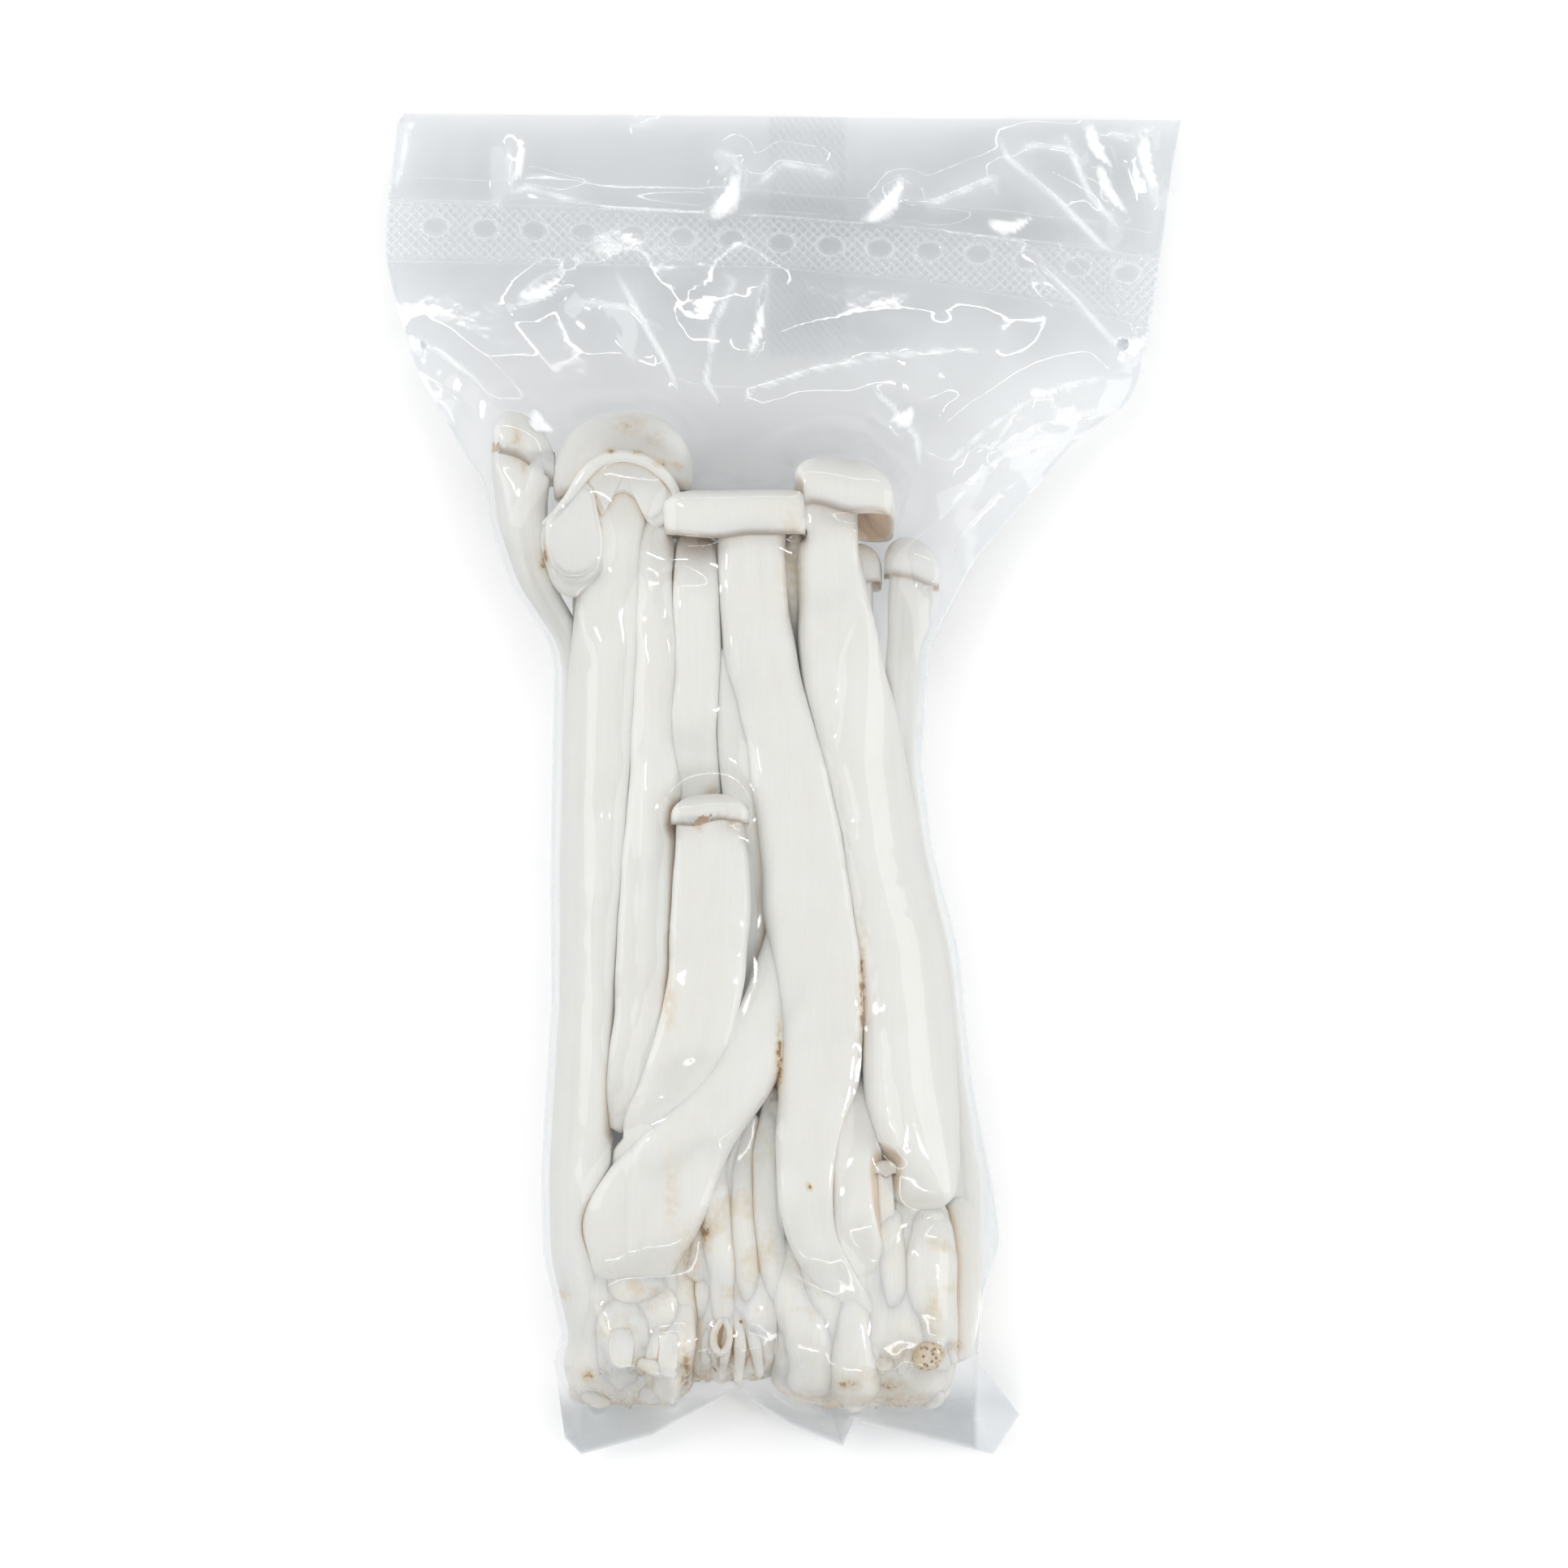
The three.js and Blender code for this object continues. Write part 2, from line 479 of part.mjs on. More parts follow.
function limbSkin(item, grow = 0) {
  const sides = item.sides ?? STEM_SIDES;
  const low = item.rows[0][1] - grow;
  const high = item.rows[item.rows.length - 1][1];
  const foot = stemAt(item.rows, low);
  const rings = [];
  if (item.foot === 'round') rings.push(ringAt(item, low, sides, 0.6, grow));
  rings.push(ringAt(item, item.foot === 'cut' ? low : low + foot.width * 0.4, sides, 0.92, grow));
  for (const y of ringLevels(item)) rings.push(ringAt(item, y, sides, 1, grow));
  const startPole = [foot.x, item.foot === 'cut' ? low : low - foot.width * 0.12, foot.z];
  const tip = stemAt(item.rows, high);
  if (item.cap) {
    const root = item.cap.margin + (item.cap.crown - item.cap.margin) * 0.3;
    const kept = rings.filter((ring) => ring[0][1] < root - 2);
    const neck = ringAt(item, root, sides, 1, 0);
    const caps = capRings(item, neck, grow);
    const crownPole = [item.cap.x, item.cap.crown + grow, item.cap.z];
    return faceOut(skin([...kept, neck, ...caps], startPole, crownPole));
  }
  rings.push(ringAt(item, high - tip.width * 0.4, sides, 0.9, grow));
  rings.push(ringAt(item, high, sides, 0.5, grow));
  return faceOut(skin(rings, startPole, [tip.x, high + tip.width * 0.1 + grow, tip.z]));
}

function toManifold({ points, faces }) {
  const mesh = new wasm.Mesh({
    numProp: 3,
    vertProperties: new Float32Array(points.flat()),
    triVerts: new Uint32Array(faces.flat()),
  });
  return new wasm.Manifold(mesh);
}

function fromManifold(solid) {
  const mesh = solid.getMesh();
  const points = [];
  for (let k = 0; k < mesh.vertProperties.length; k += mesh.numProp) {
    points.push(Array.from(mesh.vertProperties.slice(k, k + 3)));
  }
  const faces = [];
  for (let k = 0; k < mesh.triVerts.length; k += 3) {
    faces.push(Array.from(mesh.triVerts.slice(k, k + 3)));
  }
  return { points, faces };
}

// All limbs of one node joined, with room cut for the feet that stand in a lump
function nodeBody(node) {
  const limbs = LIMBS.filter((item) => item.node === node);
  let body = null;
  for (const item of limbs) {
    const piece = toManifold(limbSkin(item));
    body = body ? body.add(piece) : piece;
  }
  if (limbs.some((item) => item.lump)) {
    for (const other of LIMBS) {
      if (other.node !== node && !other.lump && !other.stub) {
        body = body.subtract(toManifold(limbSkin(other, FOOT_GAP)));
      }
    }
  }
  return body;
}

// Where flesh of a later node would still cross an earlier one, it is cut back with the pressing gap
function cutBack(solids, names) {
  for (let later = 1; later < names.length; later += 1) {
    for (let k = 0; k < later; k += 1) {
      if (solids[later].intersect(solids[k]).volume() < LEAST_CROSSING) continue;
      for (const item of LIMBS.filter((one) => one.node === names[k])) {
        solids[later] = solids[later].subtract(toManifold(limbSkin(item, FOOT_GAP)));
      }
    }
  }
  return solids.map((solid) => solid.decompose().sort((a, b) => b.volume() - a.volume())[0]);
}

function toMesh(name, { points, faces }, material) {
  const geometry = new THREE.BufferGeometry();
  geometry.setAttribute('position', new THREE.Float32BufferAttribute(points.flat(), 3));
  geometry.setIndex(faces.flat());
  geometry.computeVertexNormals();
  const mesh = new THREE.Mesh(geometry, material);
  mesh.name = name;
  return mesh;
}

// Highest and lowest flesh over each square of the raster
function contentHeights(bodies) {
  const columns = Math.ceil((2 * FIELD_HALF_X) / RASTER);
  const rows = Math.ceil((2 * FIELD_HALF_Y) / RASTER);
  const top = new Float32Array(columns * rows).fill(-Infinity);
  const bottom = new Float32Array(columns * rows).fill(Infinity);
  const column = (x) => (x + FIELD_HALF_X) / RASTER;
  const row = (y) => (y + FIELD_HALF_Y) / RASTER;
  for (const { points, faces } of bodies) {
    for (const face of faces) {
      const [p, q, r] = face.map((n) => points[n]);
      const area = (q[0] - p[0]) * (r[1] - p[1]) - (r[0] - p[0]) * (q[1] - p[1]);
      if (Math.abs(area) < 1e-6) continue;
      const c0 = Math.floor(column(Math.min(p[0], q[0], r[0])));
      const c1 = Math.ceil(column(Math.max(p[0], q[0], r[0])));
      const r0 = Math.floor(row(Math.min(p[1], q[1], r[1])));
      const r1 = Math.ceil(row(Math.max(p[1], q[1], r[1])));
      for (let j = r0; j <= r1; j += 1) {
        for (let i = c0; i <= c1; i += 1) {
          const x = i * RASTER - FIELD_HALF_X;
          const y = j * RASTER - FIELD_HALF_Y;
          const u = ((q[0] - x) * (r[1] - y) - (r[0] - x) * (q[1] - y)) / area;
          const v = ((r[0] - x) * (p[1] - y) - (p[0] - x) * (r[1] - y)) / area;
          const w = 1 - u - v;
          if (u < -0.02 || v < -0.02 || w < -0.02) continue;
          const z = u * p[2] + v * q[2] + w * r[2];
          const n = j * columns + i;
          top[n] = Math.max(top[n], z);
          bottom[n] = Math.min(bottom[n], z);
        }
      }
    }
  }
  return { columns, rows, top, bottom };
}

// A sheet pulled over what it covers by suction: side is 1 for the front sheet and -1 for the back one
function drape(heights, side) {
  const { columns, rows } = heights;
  const size = columns * rows;
  const hold = new Float32Array(size);
  const free = new Uint8Array(size);
  for (let j = 0; j < rows; j += 1) {
    for (let i = 0; i < columns; i += 1) {
      const x = i * RASTER - FIELD_HALF_X;
      const y = j * RASTER - FIELD_HALF_Y;
      const n = j * columns + i;
      const seam = side * seamHeight(x, y) + SEAM_GAP / 2;
      const flesh = side > 0 ? heights.top[n] : -heights.bottom[n];
      hold[n] = Math.max(seam, flesh + FILM_CLEARANCE);
      const inside = x > leftEdge(y) + 0.5 && x < rightEdge(y) - 0.5 && j > 1 && j < rows - 2;
      free[n] = inside ? 1 : 0;
    }
  }
  const sheet = hold.slice();
  for (let step = 0; step < DRAPE_STEPS; step += 1) {
    for (let j = 1; j < rows - 1; j += 1) {
      for (let i = 1; i < columns - 1; i += 1) {
        const n = j * columns + i;
        if (!free[n]) continue;
        const around = (sheet[n - 1] + sheet[n + 1] + sheet[n - columns] + sheet[n + columns]) / 4;
        sheet[n] = Math.max(hold[n], around - SUCTION * RASTER * RASTER / 4);
      }
    }
  }
  return { columns, rows, sheet, hold };
}

function sample(field, values, x, y) {
  const i = THREE.MathUtils.clamp((x + FIELD_HALF_X) / RASTER, 0, field.columns - 2);
  const j = THREE.MathUtils.clamp((y + FIELD_HALF_Y) / RASTER, 0, field.rows - 2);
  const [i0, j0] = [Math.floor(i), Math.floor(j)];
  const [s, t] = [i - i0, j - j0];
  const n = j0 * field.columns + i0;
  const low = values[n] * (1 - s) + values[n + 1] * s;
  const high = values[n + field.columns] * (1 - s) + values[n + field.columns + 1] * s;
  return low * (1 - t) + high * t;
}

// Places of the sheet's grid points, row by row from the mouth to the ears
function filmGrid() {
  const grid = [];
  const tailX = TAIL_EDGE.map(([share, x]) => [-share, x]);
  const tailY = TAIL_EDGE.map(([share, , y]) => [-share, y]);
  const across = (y, u) => THREE.MathUtils.lerp(leftEdge(y), rightEdge(y), u);
  for (let j = 0; j <= BODY_ROWS + TAIL_ROWS; j += 1) {
    const row = [];
    for (let i = 0; i <= FILM_COLUMNS; i += 1) {
      const even = i / FILM_COLUMNS;
      const u = THREE.MathUtils.lerp(even, (1 - Math.cos(Math.PI * even)) / 2, EDGE_CROWDING);
      const down = Math.min(j / BODY_ROWS, 1);
      const y = THREE.MathUtils.lerp(TOP_EDGE + TOP_SLANT * (1 - 2 * u) * (1 - down), BODY_END, down);
      const tail = Math.max(0, j - BODY_ROWS) / TAIL_ROWS;
      row.push([
        THREE.MathUtils.lerp(across(y, u), along(tailX, -u), tail),
        THREE.MathUtils.lerp(y, along(tailY, -u), tail),
      ]);
    }
    grid.push(row);
  }
  return grid;
}

// One sheet of film as a closed thin body. Its points are lifted where a face would cut the flesh
function filmBody(heights, side) {
  const field = drape(heights, side);
  const grid = filmGrid();
  const columns = FILM_COLUMNS + 1;
  const inner = grid.flat().map(([x, y]) => [x, y, sample(field, field.sheet, x, y)]);
  const border = (n) => {
    const i = n % columns;
    const j = Math.floor(n / columns);
    return i === 0 || i === columns - 1 || j === 0 || j === grid.length - 1;
  };
  inner.forEach((point, n) => {
    if (border(n)) point[2] = side * seamHeight(point[0], point[1]) + SEAM_GAP / 2;
  });
  const faces = [];
  for (let j = 0; j < grid.length - 1; j += 1) {
    for (let i = 0; i < columns - 1; i += 1) {
      const a = j * columns + i;
      const [b, c, d] = [a + 1, a + columns, a + columns + 1];
      if ((i + j) % 2) faces.push([a, c, b], [b, c, d]);
      else faces.push([a, c, d], [a, d, b]);
    }
  }
  for (let pass = 0; pass < LIFT_PASSES; pass += 1) {
    const lift = new Float32Array(inner.length);
    for (const face of faces) {
      const [p, q, r] = face.map((n) => inner[n]);
      const steps = 8;
      for (let s = 0; s <= steps; s += 1) {
        for (let t = 0; t <= steps - s; t += 1) {
          const [u, v] = [s / steps, t / steps];
          const w = 1 - u - v;
          const x = u * p[0] + v * q[0] + w * r[0];
          const y = u * p[1] + v * q[1] + w * r[1];
          const z = u * p[2] + v * q[2] + w * r[2];
          const short = sample(field, field.hold, x, y) - z;
          if (short <= 0) continue;
          const weights = [u, v, w].map((weight, k) => (border(face[k]) ? 0 : weight));
          const total = weights.reduce((sum, weight) => sum + weight * weight, 0);
          if (total < 0.01) continue;
          face.forEach((n, k) => { lift[n] = Math.max(lift[n], (short * weights[k]) / total); });
        }
      }
    }
    inner.forEach((point, n) => { point[2] += lift[n]; });
    if (Math.max(...lift) < 0.01) break;
  }
  for (const point of inner) {
    point[2] *= side;
    if (point[2] < FILM_THICKNESS + REST_SAG) point[2] = FILM_THICKNESS;
  }
  const normals = inner.map(() => new THREE.Vector3());
  for (const face of faces) {
    const [p, q, r] = face.map((n) => new THREE.Vector3(...inner[n]));
    const normal = q.clone().sub(p).cross(r.clone().sub(p));
    face.forEach((n) => normals[n].add(normal));
  }
  const outer = inner.map((point, n) => {
    const normal = normals[n].normalize().multiplyScalar(side * FILM_THICKNESS);
    return [point[0] + normal.x, point[1] + normal.y, point[2] + normal.z];
  });
  const points = [...inner, ...outer];
  const all = [];
  const shift = inner.length;
  for (const [a, b, c] of faces) all.push([a, c, b], [a + shift, b + shift, c + shift]);
  const rim = [];
  for (let i = 0; i < columns - 1; i += 1) rim.push(i);
  for (let j = 0; j < grid.length - 1; j += 1) rim.push(j * columns + columns - 1);
  for (let i = columns - 1; i > 0; i -= 1) rim.push((grid.length - 1) * columns + i);
  for (let j = grid.length - 1; j > 0; j -= 1) rim.push(j * columns);
  rim.forEach((a, k) => {
    const b = rim[(k + 1) % rim.length];
    all.push([b, a, a + shift], [b, a + shift, b + shift]);
  });
  return faceOut({ points, faces: all });
}

const pouch = new THREE.Group();
const names = [...new Set(LIMBS.map((item) => item.node))];
const bodies = cutBack(names.map((name) => nodeBody(name)), names).map(fromManifold);
names.forEach((name, k) => {
  const material = new THREE.MeshStandardMaterial({
    color: COLOURS[name] ?? CREAM, roughness: FLESH_ROUGHNESS, metalness: 0,
  });
  pouch.add(toMesh(name, bodies[k], material));
});

const heights = contentHeights(bodies);
const filmMaterial = new THREE.MeshStandardMaterial({
  color: FILM_COLOUR, roughness: FILM_ROUGHNESS, metalness: 0, transparent: true, opacity: 0.25,
});
pouch.add(toMesh('pouch_front_film', filmBody(heights, 1), filmMaterial));
pouch.add(toMesh('pouch_back_film', filmBody(heights, -1), filmMaterial));

export default pouch;
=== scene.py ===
"""A vacuum pouch of white shimeji mushrooms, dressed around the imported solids.

Lengths are millimetres unless a name says otherwise. X is the pouch's width, Y runs
from the cut feet to the pouch's mouth and Z is up from what the pouch lies on.
"""
import json
import math
from dataclasses import dataclass

import bpy
import numpy as np
from bpy.props import FloatProperty, FloatVectorProperty, PointerProperty
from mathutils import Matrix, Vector

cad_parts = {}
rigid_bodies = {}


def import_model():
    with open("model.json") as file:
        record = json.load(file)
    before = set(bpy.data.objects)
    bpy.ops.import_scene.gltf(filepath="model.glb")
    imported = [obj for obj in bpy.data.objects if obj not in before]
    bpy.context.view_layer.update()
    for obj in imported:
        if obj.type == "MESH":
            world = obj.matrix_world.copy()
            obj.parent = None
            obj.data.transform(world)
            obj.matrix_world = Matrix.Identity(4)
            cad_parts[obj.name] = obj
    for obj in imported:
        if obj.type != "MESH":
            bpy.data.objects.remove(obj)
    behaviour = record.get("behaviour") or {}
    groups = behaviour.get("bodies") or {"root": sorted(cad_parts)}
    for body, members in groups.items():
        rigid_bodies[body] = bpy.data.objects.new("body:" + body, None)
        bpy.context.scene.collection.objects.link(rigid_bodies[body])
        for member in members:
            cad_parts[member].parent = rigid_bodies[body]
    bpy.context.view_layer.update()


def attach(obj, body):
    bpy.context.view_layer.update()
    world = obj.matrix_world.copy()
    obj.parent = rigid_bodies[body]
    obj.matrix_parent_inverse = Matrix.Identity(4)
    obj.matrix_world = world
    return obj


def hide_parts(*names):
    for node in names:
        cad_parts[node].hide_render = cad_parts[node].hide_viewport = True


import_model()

bl_info = {
    "name": "Shimeji pouch",
    "version": (1, 0, 0),
    "blender": (4, 5, 0),
    "location": "3D View > Sidebar > Shimeji",
    "description": "Builds a vacuum pouch of white shimeji mushrooms",
    "category": "Add Mesh",
}

METRE = 0.001
BODY = "root"


def linear(code):
    """Linear colour of an sRGB hex value."""
    parts = [int(code[k : k + 2], 16) / 255 for k in (1, 3, 5)]
    return tuple(c / 12.92 if c <= 0.04045 else ((c + 0.055) / 1.055) ** 2.4 for c in parts)


# The pouch's edges as (y, x), from the mouth down
LEFT_EDGE = [
    (102.5, -59), (90, -60.5), (81, -61), (74, -59.5), (63, -56), (50, -48.5), (45.5, -45.6),
    (40, -44.9), (30.5, -41.7), (22, -36), (18, -35), (-17, -35.6), (-33, -35.4), (-45, -36.2),
    (-60, -37), (-72, -36.7), (-84.5, -33.8), (-88, -35.2),
]
RIGHT_EDGE = [
    (102.5, 61), (95, 59.5), (75, 56.8), (61, 54), (57.5, 52), (53, 45), (47, 40), (34, 29),
    (26, 24.8), (20.5, 22), (3, 21), (-10, 22.7), (-25, 26.6), (-46, 28.8), (-62, 32),
    (-70, 33), (-78, 30.2), (-88, 29.6),
]
# The bottom edge as (share of the width, x, y): two ears and a small one between
TAIL_EDGE = [
    (0, -33.5, -100), (0.07, -31, -102.5), (0.2, -20, -99.5), (0.4, -7.6, -92.6), (0.53, 1, -98),
    (0.62, 9, -101.2), (0.67, 10.8, -97.4), (0.8, 20, -99.6), (0.93, 32, -102.5), (1, 36, -96.4),
]
TOP_EDGE = 102.2
TOP_SLANT = 0.5
BODY_END = -88
SEAM_HEIGHT = 13.2
MOUTH_HEIGHT = 5
TAIL_HEIGHT = 7
SHOULDER_Y = 38
# Where the seam starts to sink to the tail, over which length, the height of its waves, and
# where and how steeply the right fin droops
TAIL_START = 80
TAIL_RUN = 22
SEAM_WAVE = 1.1
FIN_START = 24
FIN_DROP = 0.12
# How widely the corners of a side edge are eased
EDGE_EASE = 1.2

# The heat seal's upper and lower edges as (share of the width, y)
SEAL_TOP = [(0, 89.4), (0.3, 88), (0.5, 86.9), (0.7, 85), (0.87, 82.6), (1, 80.4)]
SEAL_BOTTOM = [(0, 79.9), (0.25, 79.2), (0.5, 78.9), (0.7, 76.6), (0.87, 73.3), (1, 69.6)]

# Room for the flesh in the pouch, and the gap between neighbours: below 0 they overlap
CONTENT_FLOOR = 0.95
EDGE_MARGIN = 1.2
SIDE_ROUND = 12.5
PRESS_GAP = -0.4
# A free stem's section: how much wider than its rows say, and how square
PLUMPNESS = 1.12
SQUARENESS = 5.5
# How far past a limb's ends its neighbours still make room for it, and how softly
GUARD = 3.0
GUARD_EASE = 4.0
# Limits that keep a pressed skin sound
LEAST_REACH = 0.4
LEAST_SHARE = 0.2
LEAST_FACING = 0.02
LEAST_WALL = 0.2
NO_WALL = 1e3
# Sharpness of the skin's bend at a neighbour and at the pouch
SOFTNESS = 24
POUCH_SOFTNESS = 9
FIT_TRIALS = 12
# Pressed this share deeper than it would grow, flesh is fully marked and gets the full painted crease
# shade
PRESS_FADE = 0.25

# Stems as (x, y, z, half width, half depth), from the foot up
LEFT_TALL = [
    (-28.4, -92, 12, 3.8, 4.2), (-30.2, -84, 15, 4.8, 5.8), (-31.6, -75, 16.6, 5, 6.4),
    (-32, -66, 17, 4.9, 6.4), (-31.5, -54, 17.4, 5.2, 6.5), (-30, -30, 17.6, 4.7, 6.1),
    (-28.5, -6, 18, 5.1, 6), (-27.8, 8, 18, 5.5, 6), (-26.6, 21, 18, 5.2, 5.8),
    (-25.4, 34, 17.8, 4.4, 5.4), (-25, 46, 17, 3.7, 4.8),
]
LEFT_SLIM = [
    (-24.8, -53, 19, 1.6, 2.6), (-23.1, -45, 19.4, 3.4, 4.6), (-21.2, -35, 19.4, 4.3, 5.6),
    (-20.6, -23, 19.4, 4.2, 6), (-19.6, 3, 19.4, 3.5, 6), (-18.8, 20, 19.3, 3.3, 5.9),
    (-19.6, 33, 18.4, 2.8, 5), (-20.2, 39, 17, 2.6, 4.6), (-20.5, 43, 15, 2.3, 4.2),
]
MID_SLIM = [
    (-12.2, -52, 12.5, 2, 2.5), (-12.4, -35, 13.6, 3, 2.8), (-12.6, -17, 14.6, 3.2, 3.2),
    (-13.4, -4, 17.5, 3.4, 4.6), (-13.7, 8, 20, 3.4, 5.7), (-13, 20, 20, 3.2, 5.8),
    (-13.4, 31, 19.6, 3.2, 5.4), (-13.2, 35.6, 17.6, 3, 4.8), (-12.8, 38.6, 12.6, 2.7, 3.6),
    (-12.6, 41, 9.5, 2.5, 3.2),
]
CENTER = [
    (13.6, -89, 15, 2.6, 3.4), (11, -81, 17.8, 3.3, 4.8), (7.2, -73.6, 19, 3.9, 6),
    (4.4, -67, 19.4, 4, 6.4), (3.5, -59, 19.8, 4.3, 6.7),
    (5.4, -43, 20, 5.8, 6.6), (5.6, -31, 20, 6.2, 6.6), (4.4, -22, 20, 6.5, 6.6),
    (2.9, -8, 20, 6, 6.6), (0, 5, 20, 5.3, 6.4), (-3.2, 17, 20, 5.2, 6.1),
    (-4.6, 28, 20, 4.7, 5.8), (-5.2, 40, 19.6, 4.4, 5.4),
]
CENTER_TWIN = [
    (-7.6, -36, 14, 1.6, 2.4), (-6.4, -28, 15, 2.6, 3.5), (-5, -16, 16.6, 3, 4.6),
    (-5.6, -3, 18.4, 3.3, 5.4), (-6.9, 8, 19.5, 3.3, 5.7), (-6.6, 22, 19.8, 3, 5),
]
CENTER_BRANCH = [
    (-23.4, -78, 16.6, 4.6, 4), (-23, -72.6, 18.8, 6.4, 5.4), (-22.4, -66.4, 19.6, 9.1, 6),
    (-17.9, -58.6, 19.9, 7.8, 6.2), (-12.2, -51, 20.1, 6.5, 6.3), (-8.2, -46, 20.2, 5.8, 6.4),
    (-4.6, -39, 20, 5.2, 6.4), (0, -30, 19.8, 4.8, 6.2), (3, -21, 17.5, 4.6, 6), (4, -12, 14, 4, 5),
]
FRONT_SHORT = [
    (-22.8, -61, 15, 3.4, 4), (-20.8, -55.6, 18.4, 4.6, 5), (-18.6, -50, 20.4, 5.1, 5.3),
    (-16, -45, 21.5, 5.3, 5.4), (-13.8, -39, 22, 5.3, 5.3), (-12, -30, 22.3, 5.3, 5),
    (-11.1, -18, 22.6, 5.2, 4.9), (-10.9, -4.5, 23, 4.5, 4.3),
]
RIGHT_TALL = [
    (21.2, -65, 18.5, 3.8, 4.6), (20.4, -56, 19.4, 5.7, 6.3), (19.5, -45, 19.5, 6.8, 6.6),
    (18.8, -33, 19.5, 7, 6.6), (17.2, -21, 19.5, 6.6, 6.5), (13.8, -4, 19.5, 6.2, 6.3),
    (9.9, 13, 19.5, 6.1, 6.2), (7.8, 24, 19.5, 5.2, 5.9), (6.7, 36, 19.2, 4.2, 5.5),
    (6.8, 43, 19, 3.9, 5.2),
]
RIGHT_EDGE_STEM = [
    (27, -85, 9, 1.9, 2.4), (26.9, -72, 10, 2.7, 3.2), (26.4, -60, 10.5, 3.1, 3.6),
    (24.2, -36, 11, 3.2, 3.8), (20.4, -15, 11.4, 3, 3.7), (18.2, 2, 12, 2.6, 3.5),
    (18.6, 16, 13.4, 2.7, 3.4), (19.2, 31, 14.4, 2.9, 3.4),
]
LEFT_EDGE_STEM = [
    (-32.8, -50, 10.5, 1.7, 2.2), (-32.4, -25, 11, 2, 2.8), (-31.8, 4, 11.4, 2, 3),
    (-32.6, 20.5, 13.4, 2, 3), (-35.1, 25.5, 14.4, 2.5, 3.4), (-37.9, 30.4, 15.4, 2.8, 3.8),
    (-39.6, 35.4, 16, 3.2, 4), (-40.1, 42.8, 16.2, 3.8, 4.2), (-39.7, 50, 16, 4.1, 4),
]
BACK_FAR_LEFT = [
    (-26.5, -77, 8, 5, 5.6), (-27, -50, 7.4, 5.4, 5.8), (-27.4, -20, 7, 5.2, 5.6),
    (-27, 5, 7, 4.8, 5.4), (-28, 22, 7.6, 3.9, 4.9), (-29, 33, 8.2, 3.3, 4.3),
]
BACK_LEFT = [
    (-16, -75, 7.6, 5, 5.6), (-16.4, -50, 7, 5.3, 5.7), (-17, -20, 6.8, 5.2, 5.6),
    (-17.4, 0, 6.8, 4.8, 5.3), (-17.5, 12, 7, 4, 4.7), (-17.5, 21, 7.2, 3.4, 4.3),
]
BACK_MID = [
    (-5, -74, 7.6, 5, 5.6), (-5.4, -50, 7, 5.3, 5.7), (-5.6, -22, 6.8, 5.2, 5.6),
    (-4, 0, 6.8, 4.6, 5.3), (-1, 16, 10.4, 3.7, 4.7), (1.2, 27, 16, 3.4, 4.4),
    (1.6, 39.5, 17, 3.4, 4.2),
]
BACK_RIGHT = [
    (7, -76, 7.6, 5.2, 5.6), (6.4, -50, 7, 5.4, 5.7), (6.4, -22, 6.8, 5, 5.5),
    (7.4, -2, 6.8, 4.5, 5.2), (9.2, 15, 8.4, 3.7, 4.6), (10.2, 32, 13, 3, 4),
]
BACK_FAR_RIGHT = [
    (17, -73, 7.6, 4.8, 5.6), (16.8, -50, 7, 5, 5.6), (16.4, -22, 6.8, 4.5, 5.4),
    (15, -4, 6.8, 3.9, 4.9), (14.5, 10.5, 7.2, 3.3, 4.3),
]
CUT_STEM = [
    (11.4, -77, 17.6, 2.8, 4.4), (11.2, -67, 20, 3.6, 5.2), (10.9, -57.5, 20.2, 3.6, 5.2),
    (10.4, -50, 19.4, 3, 4.6), (10.2, -43, 17, 1.8, 3),
]
YOUNG_LEFT = [
    (-9.8, -77, 17, 3, 4.4), (-9.4, -68, 18.6, 3, 4.6), (-7.6, -59, 18.6, 2.2, 3.9),
    (-4.8, -50, 17.6, 1.4, 2.8),
]
YOUNG_RIGHT = [
    (-3, -77, 16.8, 2.8, 4.4), (-2.6, -67, 18.6, 2.7, 4.6), (-2, -57, 18.6, 2.1, 3.9),
    (-0.6, -47, 17.6, 1.4, 2.8),
]
PIN_STEM = [(15.6, -68, 20.5, 1.2, 1.6), (15.4, -63, 22, 1.1, 1.4), (15.2, -58.6, 22.4, 1, 1.2)]
SPONGY_STUB = [(21.2, -86.8, 17.5, 3, 3.4), (20.4, -80, 17.5, 3.6, 4.6), (19.8, -70, 17.2, 3.2, 4.4)]
ROUND_STUB = [(14.4, -88, 19.5, 2.3, 2.6), (14.2, -82, 18.5, 2.7, 3.6)]
RING_STUB = [(-9.6, -87, 20, 1.9, 2.4), (-9.4, -80, 19, 2.3, 3.6)]
FLAT_PIECE_LEFT = [(-24, -90, 18.5, 3.6, 3.6), (-24.4, -83, 19.5, 4, 4.4), (-24.5, -76, 18, 3, 4)]
FLAT_PIECE_RIGHT = [(-17.5, -92, 17, 3, 3.8), (-17.4, -86, 19.4, 3.6, 4.6), (-16.8, -77, 18, 2.8, 4)]

